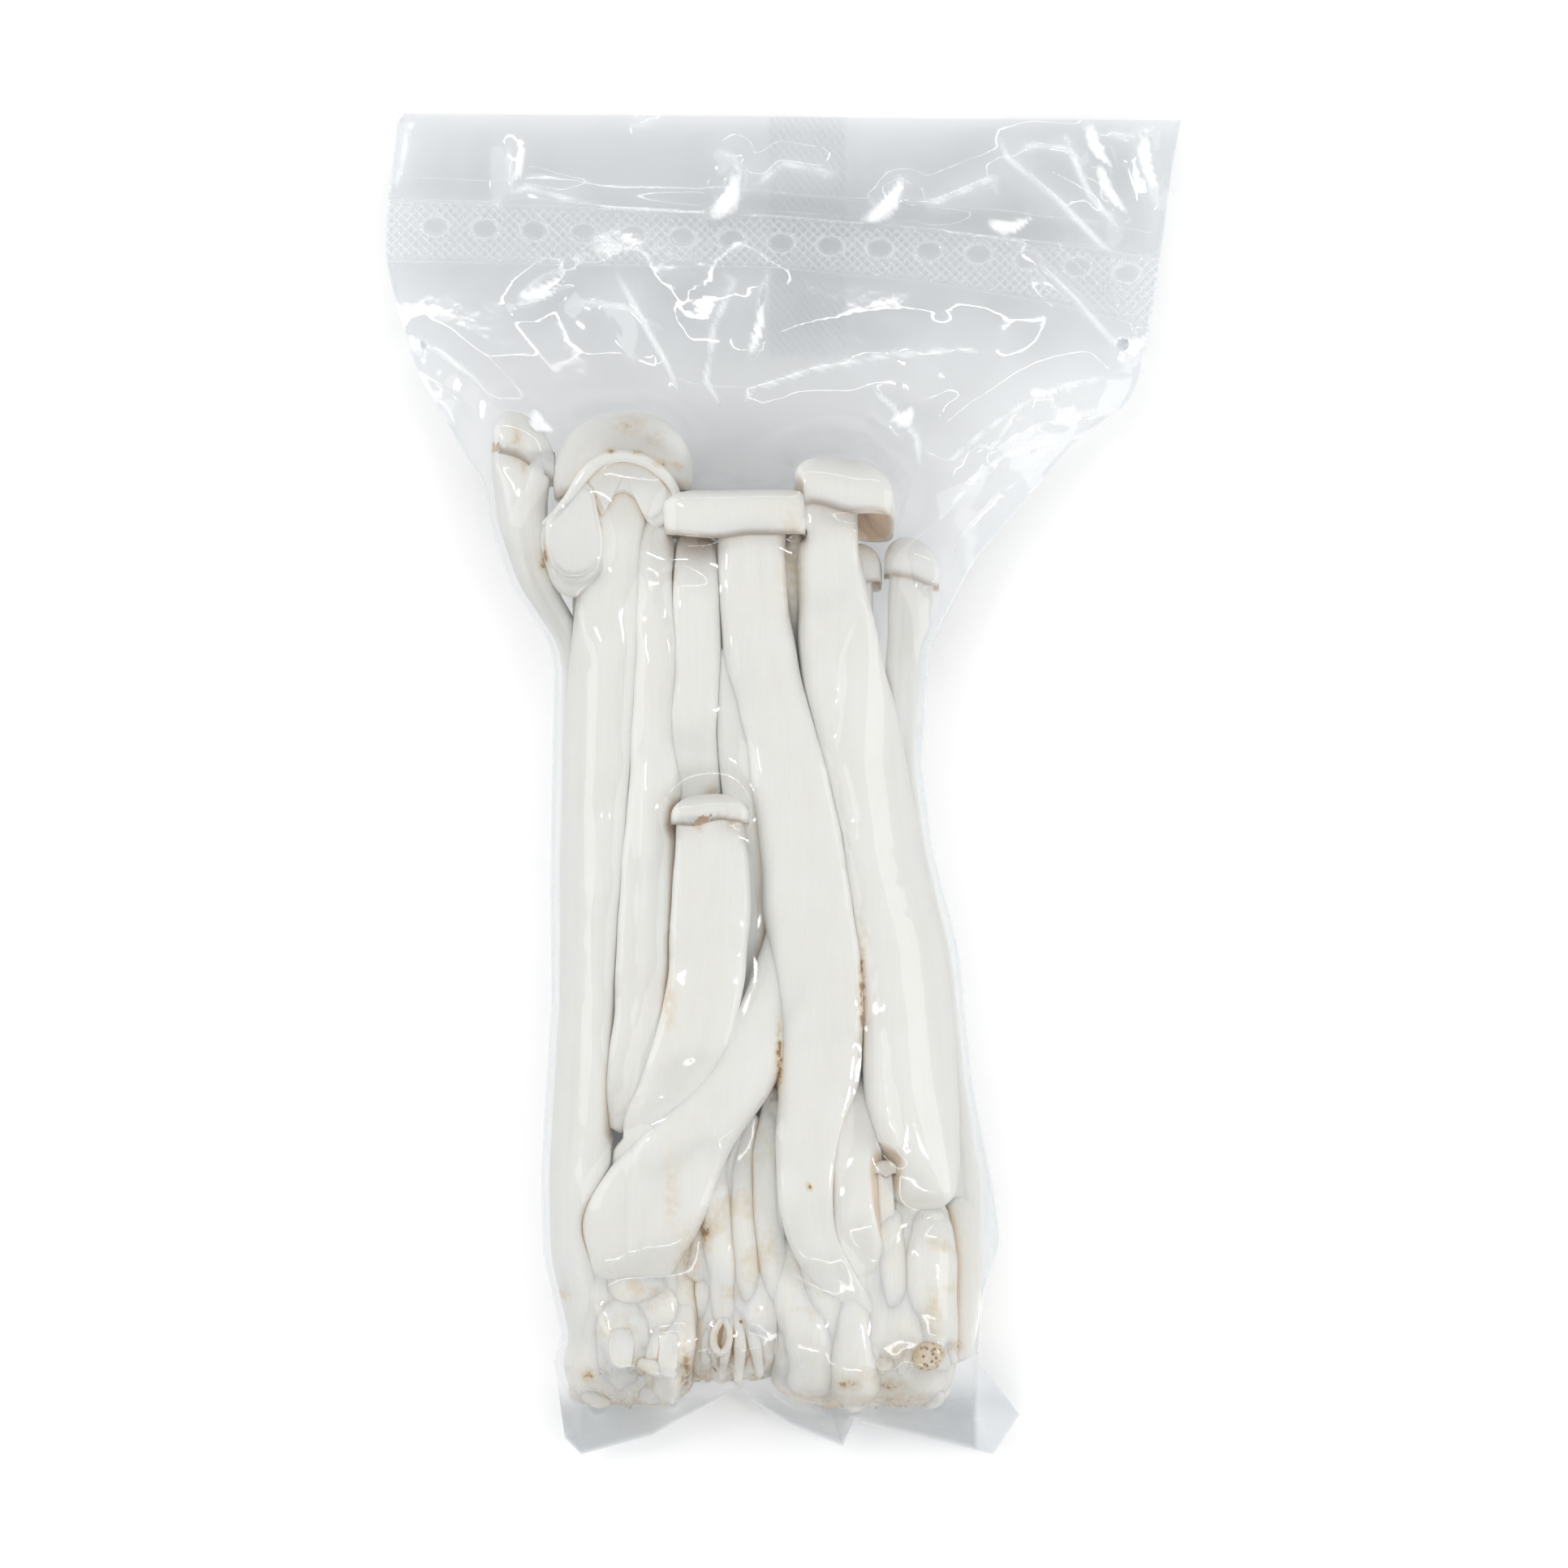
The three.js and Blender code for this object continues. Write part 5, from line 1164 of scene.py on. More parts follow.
# Small seeded crumples as (seed, count, box of x0, x1, y0 and y1, half lengths, heights)
CRUMPLES = [
    (7, 14, (16, 50, 36, 70), (6, 16), (0.2, 0.6)),
    (11, 6, (-54, 6, 52, 78), (10, 20), (0.2, 0.5)),
    (13, 14, (-34, 34, -102, -84), (5, 12), (0.3, 0.8)),
]
CREST_ROUND = 0.7
END_SHARE = 0.3
# Painted highlight of a crease's crest, of its flanks and of a dent, which bows along its
# length and narrows to one end
CREST_HIGHLIGHT_WIDTH = 0.44
CREST_HIGHLIGHT = 0.62
FLANK_HIGHLIGHT = 0.1
DENT_HIGHLIGHT = 0.85
DENT_BOW = 1.1
DENT_TAPER = 0.45


def near_crease(x, y, points):
    """Distance of each place from a crease, and how far from the crease's ends its nearest
    point lies, in shares of END_SHARE."""
    line = np.array(points, float)
    steps = np.diff(line, axis=0)
    lengths = np.hypot(steps[:, 0], steps[:, 1])
    before = np.concatenate([[0], np.cumsum(lengths)])
    nearest, along = np.full(x.shape, 1e3), np.zeros(x.shape)
    for (px, py), (sx, sy), length, start in zip(line, steps, lengths, before):
        t = np.clip(((x - px) * sx + (y - py) * sy) / length**2, 0, 1)
        distance = np.hypot(x - px - sx * t, y - py - sy * t)
        along = np.where(distance < nearest, start + t * length, along)
        nearest = np.minimum(nearest, distance)
    return nearest, np.minimum(along, before[-1] - along) / (before[-1] * END_SHARE)


def in_facet(x, y, facet):
    """Places along and across a facet, in shares of its half length and half width."""
    cx, cy, angle, half, wide = facet[:5]
    a = math.radians(angle)
    along = ((x - cx) * math.cos(a) + (y - cy) * math.sin(a)) / half
    return along, ((y - cy) * math.cos(a) - (x - cx) * math.sin(a)) / wide


def folds(x, y, table):
    """Height of the film's creases: rounded crests with straight flanks that fade at their ends."""
    height = np.zeros_like(x)
    for points, reach, rise in table:
        nearest, ends = near_crease(x, y, points)
        flank = np.sqrt(nearest**2 + CREST_ROUND**2) - CREST_ROUND
        height += rise * smooth(ends + 0.1) * np.clip(1 - flank / reach, 0, None)
    return height


def painted_crease_highlights(x, y):
    """Painted highlights of the film: thin white lines along its sharp creases, a faint white on their
    flanks and white blobs on its dents.
    """
    white = np.zeros_like(x)
    for points, reach, rise in FILM_CREASES:
        nearest, ends = near_crease(x, y, points)
        crest = CREST_HIGHLIGHT * np.exp(-((nearest / CREST_HIGHLIGHT_WIDTH) ** 2))
        flanks = FLANK_HIGHLIGHT * np.exp(-((nearest / reach) ** 2))
        uneven = 0.7 + 0.3 * np.sin(x * 1.3 + y * 0.9 + reach)
        white = np.maximum(white, (crest * uneven + flanks) * min(rise, 1) * smooth(ends + 0.1))
    for facet in FILM_FACETS:
        along, across = in_facet(x, y, facet)
        across = (across - DENT_BOW * (along * along - 0.4)) / (1 - DENT_TAPER * along)
        white = np.maximum(white, DENT_HIGHLIGHT * smooth((1.1 - np.hypot(along, across)) * 3))
    return white


def facets(x, y, z):
    """The sheet with its flat facets pressed in."""
    for facet in FILM_FACETS:
        cx, cy, *_, slope_x, slope_y = facet
        share = smooth((1.25 - np.hypot(*in_facet(x, y, facet))) * 3)
        middle = z.reshape(-1)[np.hypot(x - cx, y - cy).argmin()]
        z = z + (middle + slope_x * (x - cx) + slope_y * (y - cy) - z) * share
    return z


def random_folds(seed, count, box, lengths, rises):
    """Seeded small creases inside a box of (x0, x1, y0, y1)."""
    draw = np.random.default_rng(seed)
    table = []
    for _ in range(count):
        rise = draw.uniform(*rises) * draw.choice([-1, 1])
        half = draw.uniform(*lengths)
        middle = np.array([draw.uniform(box[0], box[1]), draw.uniform(box[2], box[3])])
        turn = draw.uniform(0, math.pi)
        reach = half * np.array([math.cos(turn), math.sin(turn)])
        bend = np.array([-reach[1], reach[0]]) * draw.uniform(-0.25, 0.25)
        line = (middle - reach, middle + bend, middle + reach)
        table.append((line, half * draw.uniform(0.3, 0.6), rise))
    return table


# Rows and columns of the sheets' grid and of the seal's finer one
FLAP_ROWS = 34
SEAL_ROWS = 14
BODY_ROWS = 300
TAIL_ROWS = 24
FILM_COLUMNS = 224
FINE_ROWS = 64
FINE_COLUMNS = 740
# Raster of the flesh's height: its step, its half sizes and the value where there is none
RASTER = 0.5
RASTER_HALF_X = 66
RASTER_HALF_Y = 106
NO_FLESH = -100.0
BARE = -50
FILM_CLEARANCE = 0.12
# The back sheet lies on the floor where it is lowest
REST_FROM = 2.4
REST_SAG = 1.1
DRAPE_PASSES = 1500
# Milkiness of each sheet everywhere, and the most that any place has
FRONT_LEAST_VEIL = 0.02
BACK_LEAST_VEIL = 0.03
MOST_VEIL = 0.9
# Milkiness added towards the welded edges, which on the grey back sheet is painted shade that
# keeps the floor seen near the edges from lighting up, how fast it fades inwards and the rim's own
EDGE_MILK_AND_SHADE = 0.22
EDGE_FADE = 4
RIM_VEIL = 0.3
RIM_WIDTH = 0.4
# Painted light where the front sheet is stretched between the caps and the seal, lifting the
# shade that the caps cast under it; milkiness where it hangs loose beside the right mushrooms
# and below the bunch
SHOULDER_PAINTED_LIGHT = 0.22
SLACK_VEIL = 0.22
FRONT_TAIL_VEIL = 0.14
MOST_SLACK_AND_PAINTED_LIGHT = 0.2
# Milkiness of the back sheet below the bunch, above it and in its embossed marks
BACK_TAIL_VEIL = 0.64
BACK_FLAP_VEIL = 0.12
STRIP_VEIL = 0.16
TONGUE_VEIL = 0.12


def film_places():
    """X and y of the sheets' grid, row by row from the mouth to the ears."""
    u = np.linspace(0, 1, FILM_COLUMNS + 1)[None, :]
    top = TOP_EDGE + TOP_SLANT * (1 - 2 * u)
    seal_top = np.interp(u, *zip(*SEAL_TOP))
    seal_bottom = np.interp(u, *zip(*SEAL_BOTTOM))
    end = np.full_like(u, BODY_END)
    rows = []
    for start, stop, count in (
        (top, seal_top, FLAP_ROWS), (seal_top, seal_bottom, SEAL_ROWS), (seal_bottom, end, BODY_ROWS),
    ):
        t = np.linspace(0, 1, count + 1)[:-1, None]
        rows.append(start + (stop - start) * t)
    y = np.vstack(rows + [end])
    left, right = edge_x(LEFT_EDGE, y), edge_x(RIGHT_EDGE, y)
    x = left + (right - left) * u
    shares, xs, ys = zip(*TAIL_EDGE)
    ear_x, ear_y = np.interp(u, shares, xs), np.interp(u, shares, ys)
    t = np.linspace(0, 1, TAIL_ROWS + 1)[1:, None]
    x = np.vstack([x, x[-1:] + (ear_x - x[-1:]) * t])
    y = np.vstack([y, y[-1:] + (ear_y - y[-1:]) * t])
    return x, y


def flesh_points():
    """Corner and middle points of all flesh that stands in the pack."""
    found = []
    for shown in bpy.data.objects:
        if not shown.name.startswith("flesh_"):
            continue
        mesh = shown.data
        points = np.empty(len(mesh.vertices) * 3)
        mesh.vertices.foreach_get("co", points)
        centres = np.empty(len(mesh.polygons) * 3)
        mesh.polygons.foreach_get("center", centres)
        edges = np.empty(len(mesh.edges) * 2, int)
        mesh.edges.foreach_get("vertices", edges)
        points = points.reshape(-1, 3)
        ends = points[edges.reshape(-1, 2)]
        found += [points, centres.reshape(-1, 3), ends.mean(axis=1)]
    return np.vstack(found) / METRE


def flesh_heights(points, side):
    """Raster of the highest flesh (side 1) or the lowest, turned over (side -1)."""
    columns = int(2 * RASTER_HALF_X / RASTER) + 1
    rows = int(2 * RASTER_HALF_Y / RASTER) + 1
    heights = np.full((rows, columns), NO_FLESH)
    i = np.clip(((points[:, 0] + RASTER_HALF_X) / RASTER).round().astype(int), 0, columns - 1)
    j = np.clip(((points[:, 1] + RASTER_HALF_Y) / RASTER).round().astype(int), 0, rows - 1)
    np.maximum.at(heights, (j, i), side * points[:, 2])
    # Small holes between the points are filled
    for _ in range(2):
        spread = heights.copy()
        for axis in (0, 1):
            for shift in (1, -1):
                spread = np.maximum(spread, np.roll(heights, shift, axis=axis) - 0.02)
        heights = np.where(heights < BARE, spread, heights)
    # Thin strips are widened by a step, so that the sheet can't pass beside them
    for axis in (0, 1):
        wider = np.maximum(np.roll(heights, 1, axis=axis), np.roll(heights, -1, axis=axis))
        heights = np.maximum(heights, wider)
    soft = np.maximum(heights, -20)
    for _ in range(2):
        for axis in (0, 1):
            soft = (np.roll(soft, 1, axis=axis) + 2 * soft + np.roll(soft, -1, axis=axis)) / 4
    return np.where(heights < BARE, NO_FLESH, soft)


def between(values, row, column):
    """Bilinear value of a grid at rows and columns that may be fractions."""
    j, i = row.astype(int), column.astype(int)
    t, s = row - j, column - i
    low = values[j, i] * (1 - s) + values[j, i + 1] * s
    high = values[j + 1, i] * (1 - s) + values[j + 1, i + 1] * s
    return low * (1 - t) + high * t


def sample(raster, x, y):
    """Value of a raster at places in millimetres."""
    column = np.clip((x + RASTER_HALF_X) / RASTER, 0, raster.shape[1] - 1.001)
    row = np.clip((y + RASTER_HALF_Y) / RASTER, 0, raster.shape[0] - 1.001)
    return between(raster, row, column)


def drape(x, y, hold, pull):
    """A sheet pulled down by suction over what it covers, solved on its own grid."""
    wide = np.diff(x, axis=1).mean(axis=1)[1:-1, None]
    tall = np.abs((y[2:] - y[:-2]) / 2).mean(axis=1)[:, None]
    across, down = 1 / wide**2, 1 / tall**2
    whole = 2 * (across + down)
    sheet = hold.copy()
    held = hold[1:-1, 1:-1]
    for _ in range(DRAPE_PASSES):
        around = across * (sheet[1:-1, 2:] + sheet[1:-1, :-2])
        around += down * (sheet[2:, 1:-1] + sheet[:-2, 1:-1])
        sheet[1:-1, 1:-1] = np.maximum(held, (around - pull) / whole)
    return sheet


def film_heights(side, film):
    """Places and heights of one sheet: side 1 for the front sheet and -1 for the back one."""
    x, y = film_places()
    flesh = sample(flesh_heights(flesh_points(), side), x, y) + FILM_CLEARANCE
    hold = np.maximum(side * seam_height(x, y) + 0.1, flesh)
    if side < 0:
        hold = np.minimum(hold, -0.3)
    sheet = drape(x, y, hold, film.pull)
    creases = folds(x, y, FILM_CREASES)
    small = creases.copy()
    for crumples in CRUMPLES:
        small += folds(x, y, random_folds(*crumples))
    loose = np.clip((sheet - flesh - 0.3) / 2.0, 0, 1)
    rim = smooth(inset_of(x, y) / 3 + 0.25)
    seal_top = np.interp((x - x[:, :1]) / (x[:, -1:] - x[:, :1]), *zip(*SEAL_TOP))
    flap = smooth((y - seal_top) / 4)
    z = side * sheet + small * loose * rim * (1 - flap)
    # Above the seal the two sheets gape a little
    gape = (1.1 + 0.9 * np.sin(x * 0.06 + (1 + side) * 0.8)) * side
    z += flap * rim * (creases * (0.6 + 0.4 * side) + gape)
    if side > 0:
        z = facets(x, y, z)
        z = np.maximum(z, np.where(flesh > BARE, flesh, NO_FLESH))
    else:
        z = z - REST_SAG * smooth((REST_FROM - z) / REST_FROM)
    return x, y, np.maximum(z, 0.1)


def edge_milk_and_shade(x, y, least):
    """How milky a sheet is: a little everywhere, more towards its welded edges, where on the grey back
    sheet this is painted shade.
    """
    inset = inset_of(x, y)
    inset = np.minimum(inset, np.where(y < BODY_END, (y - tail_y(x)) * 0.8, inset))
    inset = np.clip(inset, 0, None)
    rim = RIM_VEIL * np.exp(-((inset / RIM_WIDTH) ** 2))
    return least + EDGE_MILK_AND_SHADE * np.exp(-inset / EDGE_FADE) + rim


def front_milk_and_painted_light(x, y):
    """How milky the front sheet is, with painted light over the shoulder and painted highlights along
    creases and on dents.
    """
    # Painted light over the shoulder, which loose below carries together with the slack and tail
    # milkiness
    shoulder = np.exp(-(((y - 60) / 11) ** 2) - (x / 48) ** 4) * SHOULDER_PAINTED_LIGHT
    slack = np.exp(-(((x - 30) / 11) ** 2) - ((y - 38) / 20) ** 2) * SLACK_VEIL
    tail = smooth((-92 - y) / 6) * FRONT_TAIL_VEIL
    loose = np.minimum(shoulder + slack + tail, MOST_SLACK_AND_PAINTED_LIGHT)
    milk_and_painted_light = edge_milk_and_shade(x, y, FRONT_LEAST_VEIL) + np.maximum(loose, painted_crease_highlights(x, y))
    return np.clip(milk_and_painted_light, 0, 0.95)


def back_milk_and_edge_shade(x, y):
    """How milky the back sheet is, with painted shade towards its edges."""
    tail = smooth((-91 - y) / 6) * BACK_TAIL_VEIL
    flap = smooth((y - 60) / 12) * BACK_FLAP_VEIL
    milk_and_painted_light = edge_milk_and_shade(x, y, BACK_LEAST_VEIL) + emboss_veil(x, y) + flap + tail
    return np.clip(milk_and_painted_light, 0, MOST_VEIL)


def emboss_veil(x, y):
    """The back sheet's embossed channel strip, 12.5 mm wide, and the tongue beside it."""
    strip = smooth((x + 2.7) / 0.8) * smooth((9.8 - x) / 0.8) * smooth((y - 64.5) / 1.5)
    ribs = 0.6 + 0.4 * np.cos(y * 2 * np.pi / 1.6) * np.cos(x * 2 * np.pi / 1.3)
    tongue = smooth(1.6 - np.hypot((x - 13.5) / 4, (y - 67.8) / 2.4))
    return STRIP_VEIL * strip * ribs + TONGUE_VEIL * tongue


def grid_part(x, y, z, milk_and_painted_light, skip=None):
    """Points and quads of a grid, leaving out the rows between skip's two numbers."""
    rows, columns = x.shape
    points = np.stack([x, y, z], axis=2).reshape(-1, 3)
    j, i = np.meshgrid(np.arange(rows - 1), np.arange(columns - 1), indexing="ij")
    if skip:
        keep = (j < skip[0]) | (j >= skip[1])
        j, i = j[keep], i[keep]
    a = (j * columns + i).reshape(-1)
    quads = np.stack([a, a + columns, a + columns + 1, a + 1], axis=1)
    used = np.unique(quads)
    where = np.full(len(points), -1)
    where[used] = np.arange(len(used))
    marks = {"milk_and_painted_light": milk_and_painted_light.reshape(-1)[used]}
    return points[used], [tuple(int(v) for v in quad) for quad in where[quads]], marks


# The seal's row of ovals: how many, the first one's x, their spacing and half sizes
OVALS = 16
FIRST_OVAL = -53.3
OVAL_PITCH = 7.55
OVAL_HALF_X = 2.1
OVAL_HALF_Y = 1.5
OVAL_ROW_X = (-54, -8, 30, 58)
OVAL_ROW_Y = (85.3, 83.2, 81, 77.4)
OVAL_RISE = 0.1
KNURL_VEIL = 0.24
OVAL_VEIL = 0.24
SEAL_EDGE_VEIL = 0.25


def seal_part(x, y, z, film):
    """The heat seal: both sheets welded and knurled, with a row of smooth oval marks."""
    rows = slice(FLAP_ROWS, FLAP_ROWS + SEAL_ROWS + 1)
    v = np.linspace(0, SEAL_ROWS + 1 - 1.001, FINE_ROWS)[:, None]
    u = np.linspace(0, FILM_COLUMNS + 1 - 1.001, FINE_COLUMNS)[None, :]
    fx, fy, fz = (between(values[rows], v, u) for values in (x, y, z))
    pitch = film.knurl_pitch / METRE
    one, other = (fx + fy) * np.pi / pitch, (fx - fy) * np.pi / pitch
    lines = np.maximum(np.cos(one) ** 8, np.cos(other) ** 8)
    depth = film.knurl_height / METRE * lines
    share = v / v.max()
    fade = smooth(np.minimum(share, 1 - share) * 8)
    shore = np.ones_like(fx)
    rings = np.zeros_like(fx)
    for n in range(OVALS):
        ox = FIRST_OVAL + n * OVAL_PITCH
        oy = np.interp(ox, OVAL_ROW_X, OVAL_ROW_Y)
        distance = np.hypot((fx - ox) / OVAL_HALF_X, (fy - oy) / OVAL_HALF_Y)
        shore = np.minimum(shore, smooth((distance - 0.9) * 3))
        rings = np.maximum(rings, np.exp(-(((distance - 1) / 0.14) ** 2)))
    knurl = lines * fade * shore
    ends = np.exp(-((np.minimum(share, 1 - share) / 0.02) ** 2))
    milk_and_painted_light = edge_milk_and_shade(fx, fy, FRONT_LEAST_VEIL) + KNURL_VEIL * knurl + OVAL_VEIL * rings
    # Painted crease highlights run across the seal too
    milk_and_painted_light = np.maximum(milk_and_painted_light + SEAL_EDGE_VEIL * ends, 0.8 * painted_crease_highlights(fx, fy))
    fz = fz + depth * fade * shore + OVAL_RISE * rings
    return grid_part(fx, fy, fz, np.clip(milk_and_painted_light, 0, MOST_VEIL))


def colour_setting(name, description, code):
    """A colour that the panel shows, from its hexadecimal code."""
    return FloatVectorProperty(
        name=name, description=description, subtype="COLOR", size=3, min=0, max=1,
        default=linear(code),
    )


def power_setting(name, description, watts):
    """A lamp's power."""
    return FloatProperty(
        name=name, description=description, subtype="POWER", unit="POWER", min=0, max=100,
        default=watts,
    )


def length_setting(name, description, metres, least, most, precision=5):
    """A length in metres."""
    return FloatProperty(
        name=name, description=description, subtype="DISTANCE", unit="LENGTH", min=least,
        max=most, default=metres, precision=precision,
    )


class FleshLook(bpy.types.PropertyGroup):
    """Colours and relief of the mushrooms."""

    flesh: colour_setting("Flesh", "White of the flesh", "#fbfcfb")
    flesh_warm: colour_setting("Warm flesh", "Cream of older patches and fibres", "#f5f4ee")
    # The crease colour is painted shade where stems press on each other and in the stems' narrow nooks
    crease: colour_setting("Crease", "Tan where stems press on each other", "#ead9c4")
    gill: colour_setting("Gills", "Brownish pink between the gills", "#dcbd9c")
    base: colour_setting("Base", "Cream of the torn base", "#f6f2e8")
    # Painted shade, and browning, in the base's narrow nooks
    nook_shade_and_browning: colour_setting("Nooks", "Ochre of the base's narrow nooks", "#d6b98c")
    # These two colours also paint the dark shade lines in slots between stems
    stain_and_slot_shade: colour_setting("Stain", "Ochre of bruised flesh", "#d9bd8c")
    bruise: colour_setting("Bruise", "Brown specks on cut faces", "#9a7648")
    ridge: length_setting(
        "Fibre ridges", "Height of the long ridges on the stems", 0.00012, 0, 0.001,
    )


class FilmLook(bpy.types.PropertyGroup):
    """Colours, gloss and relief of the pouch."""

    tint: colour_setting("Tint", "What the clear film lets through", "#fefefe")
    back_tint: colour_setting("Back tint", "What the embossed back film lets through", "#fcfdfe")
    # The haze also paints the highlights along creases and on dents and the light over the shoulder
    haze: colour_setting("Haze", "Milky part of the film", "#f3f6f8")
    # This grey also paints the shade towards the back sheet's edges
    back_haze: colour_setting("Back haze", "Grey part of the embossed back film", "#a0adb6")
    knurl: colour_setting("Knurl", "Milky lines of the knurled seal", "#f2f5f7")
    roughness: FloatProperty(
        name="Roughness", description="Roughness of the film's gloss", min=0, max=1, default=0.06,
    )
    pull: FloatProperty(
        name="Suction", description="How hard the sheets are drawn between the stems",
        min=0, max=2, default=0.14,
    )
    knurl_pitch: length_setting(
        "Knurl pitch", "Spacing of the seal's diamonds", 0.0015, 0.0005, 0.005,
    )
    knurl_height: length_setting(
        "Knurl height", "Relief of the seal's diamonds", 0.00012, 0, 0.001,
    )


class StageLook(bpy.types.PropertyGroup):
    """Floor, lights and camera."""

    floor: colour_setting("Floor", "Colour of the floor", "#ffffff")
    sky: FloatProperty(
        name="Sky", description="Strength of the even light", min=0, max=5, default=0.83,
    )
    key: power_setting("Key", "Power of each large softbox", 2.2)
    strip: power_setting("Strips", "Power of each long strip light", 0.6)
    glint: power_setting("Glint", "Power of the small lamps whose shine the folds catch", 0.4)
    camera_height: length_setting(
        "Camera height", "Distance from the camera to the pack", 1.6, 0.3, 5, 2,
    )
    field_width: length_setting("Field", "Width that the picture takes in", 0.239, 0.05, 2, 4)


def looks():
    """The scene's settings for the flesh, the film and the stage."""
    scene = bpy.context.scene
    return scene.shimeji_flesh, scene.shimeji_film, scene.shimeji_stage


def build_flesh(nodes, material):
    """Builds the pieces of flesh that stand for some nodes."""
    look = looks()[0]
    for node in nodes:
        limbs = [limb for limb in LIMBS if limb.node == node]
        parts = [limb_flesh(limb, look) for limb in limbs]
        parts += extra_flesh(node)
        for limb in limbs:
            if limb.lump:
                parts += torn_strips(limb)
        raise_object(f"flesh_{node}", parts, material, (node,))


class SHIMEJI_OT_left_mushrooms(bpy.types.Operator):
    """Builds the tall folded mushroom, the slim one beside it and the small one at the edge"""

    bl_idname = "shimeji.left_mushrooms"
    bl_label = "Left mushrooms"

    def execute(self, context):
        nodes = ("mushroom_left_tall", "mushroom_left_slim", "mushroom_left_edge")
        build_flesh(nodes, fresh_flesh(looks()[0]))
        return {"FINISHED"}


class SHIMEJI_OT_center_mushrooms(bpy.types.Operator):
    """Builds the forked centre mushroom, the slim one behind and the short one in front"""

    bl_idname = "shimeji.center_mushrooms"
    bl_label = "Centre mushrooms"

    def execute(self, context):
        nodes = ("mushroom_center", "mushroom_mid_slim", "mushroom_front_short", "stem_cut")
        build_flesh(nodes, fresh_flesh(looks()[0]))
        return {"FINISHED"}


class SHIMEJI_OT_right_mushrooms(bpy.types.Operator):
    """Builds the tall domed mushroom and the pale one along the right edge"""

    bl_idname = "shimeji.right_mushrooms"
    bl_label = "Right mushrooms"

    def execute(self, context):
        nodes = ("mushroom_right_tall", "mushroom_right_edge")
        build_flesh(nodes, fresh_flesh(looks()[0]))
        return {"FINISHED"}


class SHIMEJI_OT_back_mushrooms(bpy.types.Operator):
    """Builds the five mushrooms of the layer behind"""

    bl_idname = "shimeji.back_mushrooms"
    bl_label = "Back mushrooms"

    def execute(self, context):
        nodes = [limb.node for limb in LIMBS if limb.node.startswith("mushroom_back")]
        build_flesh(nodes, fresh_flesh(looks()[0]))
        return {"FINISHED"}


class SHIMEJI_OT_base(bpy.types.Operator):
    """Builds the three torn clumps of base with their stubs and strips"""

    bl_idname = "shimeji.base"
    bl_label = "Torn base"

    def execute(self, context):
        build_flesh(("base_left", "base_middle", "base_right"), torn_flesh(looks()[0]))
        return {"FINISHED"}


class SHIMEJI_OT_front_film(bpy.types.Operator):
    """Draws the front sheet over the mushrooms and welds and knurls the seal"""

    bl_idname = "shimeji.front_film"
    bl_label = "Front film and seal"

    def execute(self, context):
        film = looks()[1]
        x, y, z = film_heights(1, film)
        front = clear_film("polyamide_film_blown", film.tint, film.haze, film)
        skip = (FLAP_ROWS, FLAP_ROWS + SEAL_ROWS)
        sheet = grid_part(x, y, z, front_milk_and_painted_light(x, y), skip)
        raise_object("film_front", [sheet], front, ("pouch_front_film",))
        seal = clear_film("polyamide_film_welded", film.tint, film.knurl, film)
        raise_object("film_seal", [seal_part(x, y, z, film)], seal)
        return {"FINISHED"}


class SHIMEJI_OT_back_film(bpy.types.Operator):
    """Draws the embossed back sheet under the mushrooms"""

    bl_idname = "shimeji.back_film"
    bl_label = "Back film"

    def execute(self, context):
        film = looks()[1]
        x, y, z = film_heights(-1, film)
        back = clear_film("polyamide_film_embossed", film.back_tint, film.back_haze, film)
        sheet = grid_part(x, y, z, back_milk_and_edge_shade(x, y))
        raise_object("film_back", [sheet], back, ("pouch_back_film",))
        return {"FINISHED"}


# Stage in metres: half the floor's side, the point that the lamps aim at, the camera's film
# width and how high the pack's middle lies
FLOOR_HALF = 3.0
LAMP_AIM = (0, 0, 0.01)
SENSOR = 36
PACK_MIDDLE = 0.012


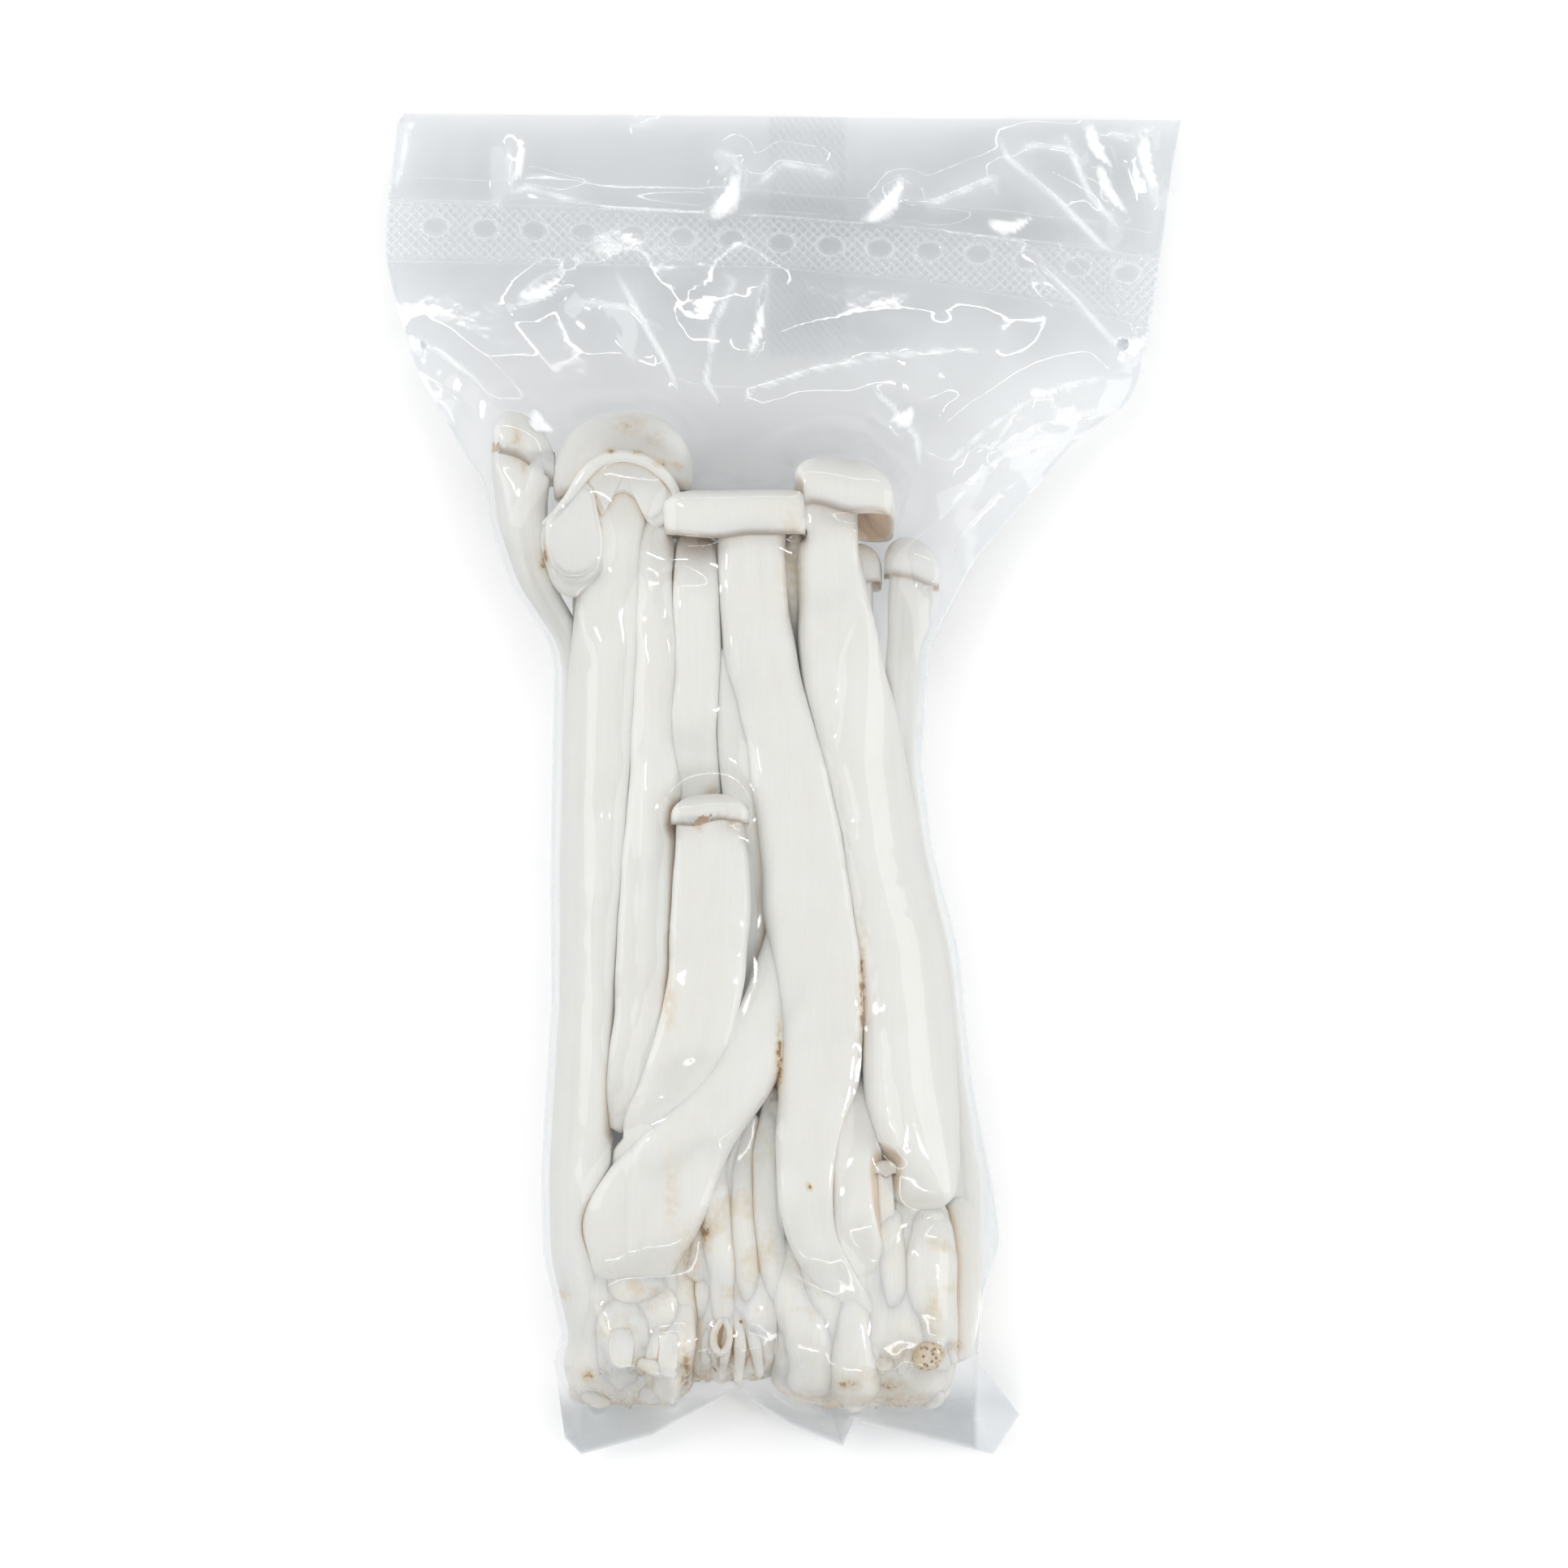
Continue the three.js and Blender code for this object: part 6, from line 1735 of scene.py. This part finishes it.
class SHIMEJI_OT_stage(bpy.types.Operator):
    """Sets the floor, the soft lights and the camera that looks straight down"""

    bl_idname = "shimeji.stage"
    bl_label = "Stage"

    def execute(self, context):
        stage = looks()[2]
        floor_mesh = bpy.data.meshes.new("floor")
        half = FLOOR_HALF
        corners = [(-half, -half, 0), (half, -half, 0), (half, half, 0), (-half, half, 0)]
        floor_mesh.from_pydata(corners, [], [(0, 1, 2, 3)])
        floor = bpy.data.objects.new("floor", floor_mesh)
        context.scene.collection.objects.link(floor)
        # Matt paper roll: even and white
        material, tree, output = new_material("paper_roll_matt")
        paper = add_node(
            tree, "ShaderNodeBsdfPrincipled",
            {"Base Color": (*stage.floor, 1), "Roughness": 0.95, "Specular IOR Level": 0.0},
        )
        tree.links.new(paper.outputs[0], output.inputs["Surface"])
        floor_mesh.materials.append(material)

        world = bpy.data.worlds.new("studio")
        world.use_nodes = True
        world.node_tree.nodes["Background"].inputs["Color"].default_value = (1, 1, 1, 1)
        world.node_tree.nodes["Background"].inputs["Strength"].default_value = stage.sky
        context.scene.world = world

        for name, place, wide, tall, power in (
            ("softbox_left", (-0.8, 0.25, 0.75), 0.7, 0.7, stage.key),
            ("softbox_right", (0.8, -0.1, 0.75), 0.7, 0.7, stage.key),
            ("strip_back", (0.02, 0.5, 0.9), 0.7, 0.025, stage.strip),
            ("strip_front", (-0.02, -0.5, 0.9), 0.7, 0.025, stage.strip),
            ("lamp_left", (-0.4, 0.16, 0.95), 0.03, 0.14, stage.glint),
            ("lamp_right", (0.42, -0.1, 0.94), 0.03, 0.14, stage.glint),
        ):
            lamp = bpy.data.lights.new(name, "AREA")
            lamp.shape = "RECTANGLE"
            lamp.energy = power
            lamp.size = wide
            lamp.size_y = tall
            stand = bpy.data.objects.new(name, lamp)
            stand.location = place
            aim = Vector(LAMP_AIM) - Vector(place)
            stand.rotation_euler = aim.to_track_quat("-Z", "Y").to_euler()
            context.scene.collection.objects.link(stand)

        context.scene.view_settings.view_transform = "Standard"
        lens = bpy.data.cameras.new("camera")
        lens.sensor_width = SENSOR
        lens.lens = SENSOR * stage.camera_height / stage.field_width
        lens.clip_end = 20
        camera = bpy.data.objects.new("camera", lens)
        camera.location = (0, 0, stage.camera_height + PACK_MIDDLE)
        context.scene.collection.objects.link(camera)
        context.scene.camera = camera
        return {"FINISHED"}


class SHIMEJI_PT_panel(bpy.types.Panel):
    """Lists the pouch's pieces and settings"""

    bl_label = "Shimeji pouch"
    bl_space_type = "VIEW_3D"
    bl_region_type = "UI"
    bl_category = "Shimeji"

    def draw(self, context):
        for group in looks():
            for name in group.bl_rna.properties.keys():
                if name not in ("rna_type", "name"):
                    self.layout.prop(group, name)
        for step in STEPS:
            self.layout.operator(step.bl_idname)


GROUPS = (
    ("shimeji_flesh", FleshLook), ("shimeji_film", FilmLook), ("shimeji_stage", StageLook),
)
STEPS = (
    SHIMEJI_OT_stage, SHIMEJI_OT_left_mushrooms, SHIMEJI_OT_center_mushrooms,
    SHIMEJI_OT_right_mushrooms, SHIMEJI_OT_back_mushrooms, SHIMEJI_OT_base,
    SHIMEJI_OT_front_film, SHIMEJI_OT_back_film,
)


def register():
    """Adds the settings, the operators and the panel to Blender."""
    for name, group in GROUPS:
        bpy.utils.register_class(group)
        setattr(bpy.types.Scene, name, PointerProperty(type=group))
    for step in STEPS:
        bpy.utils.register_class(step)
    bpy.utils.register_class(SHIMEJI_PT_panel)


def unregister():
    """Takes them away again."""
    bpy.utils.unregister_class(SHIMEJI_PT_panel)
    for step in reversed(STEPS):
        bpy.utils.unregister_class(step)
    for name, group in reversed(GROUPS):
        delattr(bpy.types.Scene, name)
        bpy.utils.unregister_class(group)


def main():
    """Builds everything by its operators."""
    register()
    for step in STEPS:
        group, name = step.bl_idname.split(".")
        getattr(getattr(bpy.ops, group), name)()


if __name__ == "__main__":
    main()
